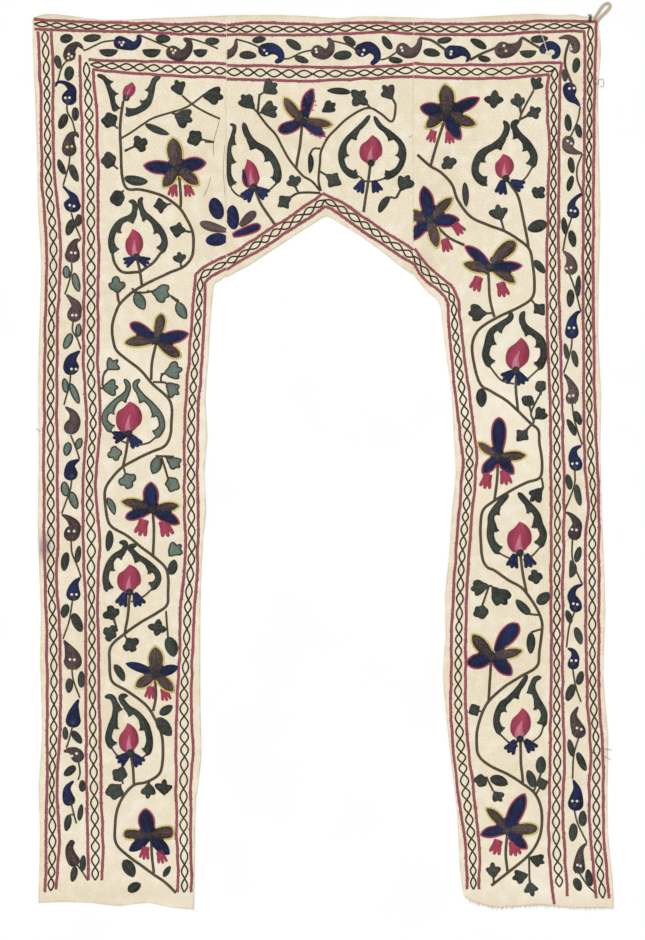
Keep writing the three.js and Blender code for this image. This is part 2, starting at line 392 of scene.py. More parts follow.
def edgeGap(points, outline):
    # shortest way from each point to a closed outline, negative outside it by an even-odd count of crossings
    a = outline
    d = np.roll(outline, -1, 0) - a
    rel = points[:, None] - a
    t = np.clip((rel * d).sum(-1) / np.maximum((d * d).sum(-1), 1e-9), 0, 1)
    gap = np.sqrt(((rel - t[..., None] * d) ** 2).sum(-1)).min(1)
    rise = np.where(np.abs(d[:, 1]) < 1e-9, 1e-9, d[:, 1])
    spans = (a[:, 1] > points[:, None, 1]) != (a[:, 1] + d[:, 1] > points[:, None, 1])
    left = points[:, None, 0] < a[:, 0] + d[:, 0] * rel[..., 1] / rise
    inside = (spans & left).sum(1) % 2 == 1
    return np.where(inside, gap, -gap)


cottonCloth = cottonMaterial()
for panel in panels:
    sides = panelSides(panel)
    surface = coonsPatch(sides, panel["columns"], panel["rows"])
    x, y = surface[..., 0], surface[..., 1]
    points = np.stack([x, y, clothHeight(x, y)], -1).reshape(-1, 3)
    top, foot, left, right = sides
    outline = np.vstack([foot[:-1], right[:-1], top[:0:-1], left[:0:-1]])
    panel["area"] = 0.5 * abs(np.cross(outline, np.roll(outline, -1, 0)).sum()) * mm * mm
    tints = {}
    for title, spots in marks.items():
        tint = np.zeros_like(x)
        for *spot, across, down, strength in spots:
            c = onCloth(spot)
            wide, high = across * photo["pixel"], down * photo["pixel"]
            tint += strength * np.exp(-((x - c[0]) / wide) ** 2 - ((y - c[1]) / high) ** 2)
        tints[title] = tint.ravel()
    u = np.broadcast_to(np.linspace(0, panel["flat"][0], x.shape[1]), x.shape)
    v = np.broadcast_to(np.linspace(0, panel["flat"][1], x.shape[0])[:, None], x.shape)
    weave = np.stack([u, v], -1).reshape(-1, 2)
    # distance to the nearest hem or selvedge, kept as the edge attribute that places the painted shade of the
    # folded hem
    hem = np.minimum(v, panel["flat"][1] - v)
    selvedge = np.full_like(u, cloth["noEdge"])
    outer = {"left_panel": u < cloth["shoulder"], "right_panel": u > cloth["shoulder"]}.get(panel["node"])
    if outer is not None:  # both sides of a leg, and above it the side away from the seam
        selvedge = np.where((y < cloth["legLine"]) | outer, np.minimum(u, panel["flat"][0] - u), selvedge)
    tints["edge"] = np.minimum(hem, selvedge).ravel()
    piece = makeMesh(panel["name"], points, gridFaces(*x.shape), {"weave": weave}, tints)
    pairs = np.empty(len(piece.data.edges) * 2, np.int32)
    piece.data.edges.foreach_get("vertices", pairs)
    row, column = np.divmod(pairs.reshape(-1, 2), x.shape[1])
    onRim = np.zeros(len(pairs) // 2, bool)
    for line, ends in ((row, (0, x.shape[0] - 1)), (column, (0, x.shape[1] - 1))):
        for end in ends:
            onRim |= (line == end).all(1)
    piece.data.attributes.new("sharp_edge", "BOOLEAN", "EDGE").data.foreach_set("value", onRim)
    thick = piece.modifiers.new("thickness", "SOLIDIFY")
    thick.thickness = cloth["thickness"] * mm
    thick.offset = -1
    piece.data.materials.append(cottonCloth)
    panel["piece"] = piece
    panel["trim"] = []
    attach(piece, "root")
    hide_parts(panel["node"])
print("cloth laid:", [round(panel["area"], 3) for panel in panels])


# paths
def evenPath(points, step):
    # the same line with points at even steps of its length
    along = np.concatenate([[0], np.cumsum(np.hypot(*np.diff(points[:, :2], axis=0).T))])
    count = max(2, int(round(along[-1] / step)) + 1)
    at = np.linspace(0, along[-1], count)
    return np.stack([np.interp(at, along, points[:, k]) for k in range(points.shape[1])], -1)


def smoothPath(knots, step):
    # cubic pieces through the knots, whose slope at a knot is that of the chord between its neighbours
    knots = np.asarray(knots, float)
    if len(knots) == 2:
        return evenPath(knots, step)
    t = np.concatenate([[0], np.cumsum(np.sqrt(np.hypot(*np.diff(knots, axis=0).T)) + 1e-6)])
    slope = np.empty_like(knots)
    slope[1:-1] = (knots[2:] - knots[:-2]) / (t[2:] - t[:-2])[:, None]
    slope[0] = (knots[1] - knots[0]) / (t[1] - t[0])
    slope[-1] = (knots[-1] - knots[-2]) / (t[-1] - t[-2])
    at = np.linspace(0, t[-1], 14 * (len(knots) - 1) + 1)
    k = np.clip(np.searchsorted(t, at, "right") - 1, 0, len(knots) - 2)
    h = (t[k + 1] - t[k])[:, None]
    s = ((at - t[k]) / h[:, 0])[:, None]
    curve = (knots[k] * (2 * s ** 3 - 3 * s ** 2 + 1) + knots[k + 1] * (3 * s ** 2 - 2 * s ** 3)
             + slope[k] * h * (s ** 3 - 2 * s ** 2 + s) + slope[k + 1] * h * (s ** 3 - s ** 2))
    return evenPath(curve, step)


def sideways(path):
    # unit normals to the left of a path
    d = np.gradient(path, axis=0)
    d /= np.maximum(np.hypot(d[:, 0], d[:, 1]), 1e-9)[:, None]
    return np.stack([-d[:, 1], d[:, 0]], -1)


def pick(path, shares):
    # the places at the given shares of a path's points
    return np.stack([np.interp(shares, np.linspace(0, 1, len(path)), path[:, k]) for k in (0, 1)], -1)


def bowedPath(base, tip, bow):
    # straight from one photo point to another, moved aside at each station by a share of the length
    a = onCloth(base)
    d = onCloth(tip) - a
    return a + d * np.linspace(0, 1, len(bow))[:, None] + np.array([-d[1], d[0]]) * bow[:, None]


def cutSides(cut):
    # the two ends of a cut, from photo columns to millimetres
    return None if cut is None else onCloth([(cut[0], 0), (cut[1], 0)])[:, 0]


def within(x, cut):
    # which places lie between the two ends of a cut; all of them where there is none
    return np.ones(x.shape, bool) if cut is None else (x > cut[0]) & (x < cut[1])


# threads: each one's slot name, and the screen colour of a full and a shaded stitch
threads = {
    "red": {"slot": "crimson_thread", "light": "AE5E69", "shade": "924C56"},
    "crimson": {"slot": "crimson_thread", "light": "BF4F69", "shade": "A33D57"},
    "pink": {"slot": "pink_thread", "light": "DE95A8", "shade": "C97A90"},
    "navy": {"slot": "navy_thread", "light": "2F3A6E", "shade": "0C1029"},
    "brown": {"slot": "brown_thread", "light": "78635F", "shade": "372B2E"},
    "green": {"slot": "green_thread", "light": "545A50", "shade": "212420"},
    "moss": {"slot": "green_thread", "light": "5B5330", "shade": "282006"},
    "teal": {"slot": "teal_thread", "light": "839488", "shade": "5A6D60"},
    "olive": {"slot": "olive_thread", "light": "6C5F48", "shade": "463C2E"},
    "yellow": {"slot": "yellow_thread", "light": "F4DF7E", "shade": "DEC156"},
    "white": {"slot": "white_thread", "light": "F6F0E2", "shade": "E2D8C2"},
    "flax": {"slot": "cotton_cloth", "light": "DED2B6", "shade": "BDAE8E"},
}
stitch = {"length": 5.2, "lap": 0.93, "pitch": 2.7, "height": 0.75, "patchLift": 0.12, "patchCrown": 0.3,
          "toneSpread": 0.28, "turnSpread": 0.05, "longSpread": 0.06, "wideSpread": 0.05, "columns": 8,
          "rowWidth": 1.1, "rowLift": 0.2, "edgeLift": 0.45, "edgeIn": 0.45, "edgeFull": 1.05,
          "leastHalf": 0.15, "acrossShift": 0.45, "acrossSpread": 0.17,
          "alongShift": 0.46, "alongSpread": 0.12}
# lines: step of the path, points between two sways, width and tone of the ground, overlap of the rows
lineLook = {"step": 3.0, "sway": 9, "ground": 0.96, "roughGround": 0.78, "groundTone": 0.9, "overlap": 1.12}
rimLook = {"ground": 0.92, "under": 0.05, "step": 4.0}
lobedLook = {"stations": 48, "inner": 0.55, "under": 0.1, "inset": 0.95, "edge": 4.0, "stemFrom": 0.6,
             "stemShares": (0.3, 0.7), "sways": ((1, 0.09), (2, 0.06), (5, 0.035))}
discLook = {"points": 14, "turn": 0.3, "slant": 0.9}
edgeTones = {"olive": 0.12, "green": 0.3, "crimson": 0.5, "yellow": 0.5}
work = {thread: {"stitches": [], "patches": []} for thread in threads}


def addStitches(thread, at, way, length, width, lift, tone, height=None):
    # a row of the table for each stitch: middle, way, length, width, height, lift above the cloth, tone
    count = len(at)
    if not count:
        return
    high = stitch["height"] if height is None else height
    wobble = chance.normal(0, 1, (4, count))
    table = np.empty((count, stitch["columns"]))
    table[:, :2] = at
    table[:, 2] = way + stitch["turnSpread"] * wobble[0]
    table[:, 3] = length * (1 + stitch["longSpread"] * wobble[1])
    table[:, 4] = width * (1 + stitch["wideSpread"] * wobble[2])
    table[:, 5] = high
    table[:, 6] = lift
    table[:, 7] = np.clip(tone + stitch["toneSpread"] * wobble[3], 0, 1)
    work[thread]["stitches"].append(table)


def sewRow(thread, path, width, lift=0.1, tone=0.5, length=None, rough=0.0):
    # one row of chain stitch along a path in millimetres, each stitch a little beside it
    long = length or stitch["length"]
    line = evenPath(path, long * stitch["lap"])
    d = np.diff(line, axis=0)
    at = (line[:-1] + line[1:]) / 2 + sideways(line)[:-1] * chance.normal(0, rough, (len(d), 1))
    addStitches(thread, at, np.arctan2(d[:, 1], d[:, 0]), long, width, lift, tone)


def sewLine(thread, knots, width, rows=1, lift=0.1, tone=0.5, stray=0.35, rough=0.0):
    # a smooth line through photo points, worked as one or more rows side by side
    path = smoothPath(onCloth(knots), lineLook["step"])
    side = sideways(path)
    turns = np.arange(0, len(path) + lineLook["sway"], lineLook["sway"])
    wander = np.interp(np.arange(len(path)), turns, chance.normal(0, stray, len(turns)))
    path = path + side * wander[:, None]
    pitch = width * photo["pixel"] / rows
    under = lineLook["roughGround" if rough else "ground"]
    ground(thread, path, width * photo["pixel"] * under, lift, tone * lineLook["groundTone"])
    for k in range(rows):
        beside = path + side * ((k - (rows - 1) / 2) * pitch)
        sewRow(thread, beside, pitch * lineLook["overlap"], lift, tone, rough=rough)


def bladeSurface(path, left, right, lift, cut=None):
    # a low closed lens: at each station a left rim, a raised middle and a right rim, flat below
    side = sideways(path)
    leftRim = path + side * np.maximum(left, stitch["leastHalf"])[:, None]
    rightRim = path - side * np.maximum(right, stitch["leastHalf"])[:, None]
    rings = np.stack([leftRim, (leftRim + rightRim) / 2, rightRim], 1)
    if cut is not None:
        rings[..., 0] = np.clip(rings[..., 0], cut[0], cut[1])
    z = clothHeight(rings[..., 0], rings[..., 1]) + lift
    z[:, 1] += stitch["patchCrown"]
    points = np.concatenate([rings, z[..., None]], -1).reshape(-1, 3)
    return points, tubeFaces(len(path), 3), np.vstack([leftRim, rightRim[::-1]])


def ground(thread, path, width, lift, tone, step=6.0, cut=None):
    # a low ribbon of one width under the rows of a line
    line = evenPath(path, step)
    half = np.full(len(line), width / 2)
    points, faces, _ = bladeSurface(line, half, half, lift, cut)
    work[thread]["patches"].append((points, faces, tone))


def fillAcross(thread, outline, angle, inset, lift, tone, cut=None):
    # straight rows at an angle over a closed outline: a turned grid, kept where it lies deep enough inside
    turn = np.array([[np.cos(angle), -np.sin(angle)], [np.sin(angle), np.cos(angle)]])
    low, high = (outline @ turn).min(0), (outline @ turn).max(0)
    u = np.arange(low[0], high[0] + 1, stitch["length"] * stitch["lap"])
    v = np.arange(low[1] + 0.4, high[1] + 1, stitch["pitch"])
    gu, gv = np.meshgrid(u, v)
    gu = gu + (np.arange(len(v)) % 2)[:, None] * stitch["length"] * stitch["acrossShift"]
    rowTone = tone + chance.normal(0, stitch["acrossSpread"], len(v))
    rowTone = np.broadcast_to(rowTone[:, None], gu.shape).ravel()
    at = np.stack([gu, gv], -1).reshape(-1, 2) @ turn.T
    keep = (edgeGap(at, outline) > inset) & within(at[:, 0], cut)
    width = stitch["pitch"] * stitch["rowWidth"]
    addStitches(thread, at[keep], angle, stitch["length"], width, lift, rowTone[keep])


def fillAlong(thread, path, left, right, inset, lift, tone, cut=None):
    # rows that keep to the blade's own path: a grid of stations by offsets, kept inside the two half widths
    line = evenPath(np.column_stack([path, left, right]), stitch["length"] * stitch["lap"])
    side = sideways(line[:, :2])
    reach = max(left.max(), right.max())
    rows = np.ceil(reach / stitch["pitch"])
    offset = np.arange(-rows, rows + 1) * stitch["pitch"]
    at = line[:, None, :2] + side[:, None] * offset[:, None]
    ahead = np.stack([side[:, 1], -side[:, 0]], -1)
    shift = stitch["length"] * stitch["alongShift"] * (np.arange(len(offset)) % 2)
    at = at + ahead[:, None] * shift[:, None]
    keep = (offset < line[:, 2:3] - inset) & (offset > inset - line[:, 3:4]) & within(at[..., 0], cut)
    way = np.broadcast_to(np.arctan2(-side[:, 0], side[:, 1])[:, None], keep.shape)
    rowTone = tone + chance.normal(0, stitch["alongSpread"], len(offset))
    rowTone = np.broadcast_to(rowTone, keep.shape)
    width = stitch["pitch"] * stitch["rowWidth"]
    addStitches(thread, at[keep], way[keep], stitch["length"], width, lift, rowTone[keep])


def sewOutline(thread, outline, inset, width, lift, tone, cut=None, based=False, bare=None):
    # a row round a closed outline, moved inwards along its normals; bare points at its ends are left out
    ring = np.vstack([outline, outline[:1]])
    area = np.cross(outline, np.roll(outline, -1, 0)).sum()
    if bare:
        ring = outline[bare[0]:len(outline) - bare[1]]
    ring = ring + sideways(ring) * inset * np.sign(area)
    if based:
        ground(thread, ring, width * rimLook["ground"], lift - rimLook["under"], tone, rimLook["step"], cut)
    line = evenPath(ring, stitch["length"] * stitch["lap"])
    d = np.diff(line, axis=0)
    at = (line[:-1] + line[1:]) / 2
    keep = within(at[:, 0], cut)
    addStitches(thread, at[keep], np.arctan2(d[keep, 1], d[keep, 0]), stitch["length"], width, lift, tone)


def sewRim(thread, edge, outline, wide, lift, tone, cut=None, bare=None):
    # one row round a shape's edge, in the shape's own thread or standing higher in another
    sewOutline(edge or thread, outline, wide * stitch["edgeIn"], wide * stitch["edgeFull"],
               lift + stitch["edgeLift" if edge else "rowLift"], tone, cut, bool(edge), bare)


def sewBlade(thread, path, left, right, lift=0.1, tone=0.5, edge=None, slant=None, cut=None, edgeWidth=3.4,
             bare=None, edgeTone=None):
    # a filled shape on a path: the lens under it, its rows, and one row round its edge
    points, faces, outline = bladeSurface(path, left, right, stitch["patchLift"] + lift, cut)
    work[thread]["patches"].append((points, faces, tone))
    wide = edgeWidth if edge else stitch["pitch"]
    if slant is None:
        fillAlong(thread, path, left, right, wide, lift + stitch["rowLift"], tone, cut)
    else:
        fillAcross(thread, outline, slant, wide, lift + stitch["rowLift"], tone, cut)
    if edge:
        tone = edgeTones[edge] if edgeTone is None else edgeTone
    sewRim(thread, edge, outline, wide, lift, tone, cut, bare)


def lobedSurface(middle, radii, turn, lift):
    # a low lens round a centre: the radius is a function of the angle, and the height falls to the rim
    angle = np.linspace(0, 2 * np.pi, len(radii), endpoint=False) + turn
    rim = middle + np.stack([np.cos(angle), np.sin(angle)], -1) * radii[:, None]
    rings = np.stack([rim, middle + (rim - middle) * lobedLook["inner"]], 0).reshape(-1, 2)
    flat = np.vstack([rings, middle[None], middle[None]])
    z = clothHeight(flat[:, 0], flat[:, 1]) + lift
    n = len(radii)
    z[n:2 * n + 1] += stitch["patchCrown"]
    z[-1] -= lobedLook["under"]
    at = np.arange(n)
    nxt = np.roll(at, -1)
    faces = np.vstack([np.stack([at, nxt, nxt + n], -1), np.stack([at, nxt + n, at + n], -1),
                       np.stack([at + n, nxt + n, np.full(n, 2 * n)], -1),
                       np.stack([nxt, at, np.full(n, 2 * n + 1)], -1)])
    return np.column_stack([flat, z]), faces, rim


def sewLobed(thread, at, radii, turn, lift=0.1, tone=0.5, edge=None, slant=0.6):
    # a filled shape round a centre: the lens under it, rows at one slant, and one row round its edge
    points, faces, rim = lobedSurface(np.asarray(at, float), radii, turn, stitch["patchLift"] + lift)
    work[thread]["patches"].append((points, faces, tone))
    fillAcross(thread, rim, slant, stitch["pitch"] * lobedLook["inset"], lift + stitch["rowLift"], tone)
    wide = lobedLook["edge"] if edge else stitch["pitch"]
    sewRim(thread, edge, rim, wide, lift, edgeTones[edge] if edge else tone)


def sewDisc(thread, at, radius, lift, tone=0.5):
    # a small round of stitches: a lens with a ring of stitches and one across
    c = onCloth(at)
    radii = np.full(discLook["points"], radius * photo["pixel"])
    sewLobed(thread, c, radii, discLook["turn"], lift, tone, slant=discLook["slant"])


# bands: length of a turn of the twisted pair, share of the band that it fills, and the points of the two
# red lines, read off where a line changes its way
bands = {
    "outer left": (14.6, 1.0, [(38, 31), (39, 64), (41, 110), (41.5, 184), (46, 244), (44.5, 334),
      (43.5, 440), (44, 560), (46.5, 634), (46.5, 754), (45.5, 844), (44.5, 892)], [(50.5, 31), (52.5, 64),
      (52.5, 124), (55, 184), (60, 244), (57, 330), (56.5, 450), (57.5, 544), (56, 574), (59.5, 640),
      (60, 724), (56.5, 784), (58.5, 844), (56, 889)]),
    "inner left": (14.3, 1.0, [(78.7, 54.5), (80.5, 94), (82.5, 184), (83.5, 304), (83, 364), (86, 424),
      (82.5, 484), (82.5, 544), (85, 604), (85.5, 724), (87.5, 860), (88, 880)], [(92.4, 69), (94.5, 94),
      (96.5, 124), (98, 244), (97.5, 364), (99.5, 424), (95, 484), (99.5, 544), (97.5, 574), (98, 664),
      (100.5, 784), (102.5, 844), (101.5, 880)]),
    "outer top left": (14.5, 1.0, [(33.5, 18.5), (60, 20.5), (108, 22.5), (150, 22.8), (180, 24.5),
      (204, 23), (225.8, 24.5)], [(34, 28.7), (84, 30.5), (132, 31), (180, 33.5), (225.8, 34.4)]),
    "outer top crown": (14.2, 1.0, [(226.4, 24.5), (252, 22.5), (290, 23.4), (324, 24.3), (348, 22.5),
      (413, 23.2)], [(226.4, 34.5), (300, 34.6), (340, 33.6), (372, 32), (413, 33.4)]),
    "outer top right": (14.6, 1.0, [(413.6, 23.5), (444, 23.5), (480, 23.2), (516, 22.5), (540, 20.5),
      (596, 21)], [(413.6, 33.6), (468, 34.5), (516, 33), (564, 30.5), (584.5, 31)]),
    "inner top left": (14.3, 1.0, [(88, 59.4), (108, 60.5), (156, 61), (204, 63), (225.8, 64.3)],
      [(92, 68.5), (108, 70.5), (132, 72.6), (180, 76), (225.8, 77)]),
    "inner top crown": (14.2, 1.0, [(226.4, 64.5), (252, 65), (300, 66.5), (348, 67), (380, 66),
      (413, 63.4)], [(226.4, 78.5), (262, 79.4), (300, 80.5), (348, 79), (396, 76.5), (413, 76.4)]),
    "inner top right": (14.4, 1.0, [(413.6, 62.5), (444, 64.4), (492, 64.6), (540, 62.5), (561, 62)],
      [(413.6, 76), (468, 78), (516, 77), (548.7, 74)]),
    "inner right": (14.2, 0.984, [(561, 62), (559, 94), (558.2, 244), (560.5, 364), (563.5, 484),
      (562.5, 574), (562, 694), (564, 754), (562.5, 814), (565.5, 874), (566.6, 896)], [(548.5, 74),
      (547, 94), (548.5, 154), (546.5, 244), (547, 334), (550, 424), (550.5, 690), (548.5, 844),
      (550.5, 874), (554, 904)]),
    "outer right": (14.2, 1.0, [(584.5, 31), (584.2, 124), (582.5, 214), (583, 334), (584, 454), (588, 505),
      (585, 544), (586.5, 690), (590.5, 754), (588.5, 784), (590.5, 844), (596, 898)], [(596, 21),
      (594.5, 64), (593, 184), (593, 304), (594.7, 410), (598.5, 514), (598.5, 690), (602.5, 754),
      (603, 824), (606.5, 874), (609, 898)]),
    "left leg": (14.5, 1.0, [(195, 274), (192.5, 304), (188, 364), (184.5, 424), (184, 514), (185.5, 544),
      (180.5, 604), (179, 664), (176.3, 700), (176, 830), (178, 874), (177, 892)], [(205, 281), (204.5, 304),
      (201, 364), (197, 424), (197.5, 544), (193, 634), (190.5, 694), (192.5, 754), (190.5, 784),
      (190.5, 892)]),
    "right leg": (13.1, 1.0, [(448, 304), (449, 334), (455, 394), (462, 454), (461, 484), (454, 574),
      (450.5, 670), (451, 724), (456.5, 784), (464.5, 844), (466.5, 874), (467, 889)], [(458.5, 302),
      (461, 334), (469, 394), (476, 454), (474.5, 484), (467, 574), (465, 690), (468.5, 754), (472.5, 784),
      (478.5, 844), (479, 889)]),
    "left shoulder": (13.1, 1.0, [(195, 274), (204, 267), (212, 262.5), (225.8, 256)], [(205, 281),
      (212, 275), (225.8, 268.4)]),
    "arch left": (13.2, 1.0, [(226.4, 255.3), (240, 249), (252, 240), (284, 219), (316, 198.5),
      (322, 193.5)], [(226.4, 268.8), (244, 258.5), (284, 234), (316, 212.5), (325, 206)]),
    "arch right": (13.1, 1.0, [(322, 193.5), (332, 197.5), (348, 206), (380, 228.5), (413, 249.6)],
      [(325, 206), (332, 209), (348, 220.5), (380, 242.5), (413, 263.6)]),
    "right shoulder": (12.2, 1.0, [(413.6, 248.6), (428, 266), (444, 280), (452, 287), (458.5, 302)],
      [(413.6, 263), (420, 274), (428, 282), (444, 295), (448, 304)]),
}
bandLook = {"lineWidth": 3.4, "lineRows": 2, "strandWidth": 1.85, "swing": 0.25, "shift": (0.45, 0.35),
            "stray": 0.85, "rough": 0.55, "stations": 400, "turnSpread": 0.16, "swingSpread": 0.14,
            "blunt": 1.15, "lifts": {1: 0.25, -1: 0.1}, "ground": (0.3, 4.2), "groundShare": 0.9,
            "rowTone": 0.35, "stitch": 5.6}


def sewTwist(first, second, pitch, reach):
    # two strands that cross between the lines: opposite waves whose swing is an uneven share of the gap
    share = np.linspace(0, reach, bandLook["stations"])
    a, b = (pick(smoothPath(onCloth(knots), 2.0), share) for knots in (first, second))
    line = (a + b) / 2
    side = sideways(line)
    gap = np.abs(((a - b) * side).sum(1))
    long = np.hypot(*np.diff(line, axis=0).T).sum()
    turns = max(1, int(round(long / (pitch * photo["pixel"]))))
    ends = np.concatenate([[0], np.cumsum(1 + bandLook["turnSpread"] * chance.uniform(-1, 1, turns))])
    phase = np.interp(share / reach, ends / ends[-1], np.arange(turns + 1) * np.pi)
    swings = 1 + bandLook["swingSpread"] * chance.uniform(-1, 1, turns + 1)
    wave = np.sin(phase)
    wave = np.sign(wave) * np.abs(wave) ** bandLook["blunt"] * gap * bandLook["swing"]
    wave = wave * np.interp(phase / np.pi, np.arange(turns + 1), swings)
    width = bandLook["strandWidth"] * photo["pixel"]
    for way, lift in bandLook["lifts"].items():
        strand = line + side * (wave * way)[:, None]
        ground("moss", strand, width * bandLook["groundShare"], lift, *bandLook["ground"])
        sewRow("moss", strand, width, lift, bandLook["rowTone"], bandLook["stitch"])


for pitch, reach, first, second in bands.values():
    lines = [np.array(knots) + bandLook["shift"] for knots in (first, second)]
    for knots in lines:
        sewLine("red", knots, bandLook["lineWidth"], bandLook["lineRows"], stray=bandLook["stray"],
                rough=bandLook["rough"])
    sewTwist(*lines, pitch, reach)
print("bands sewn:", len(bands))


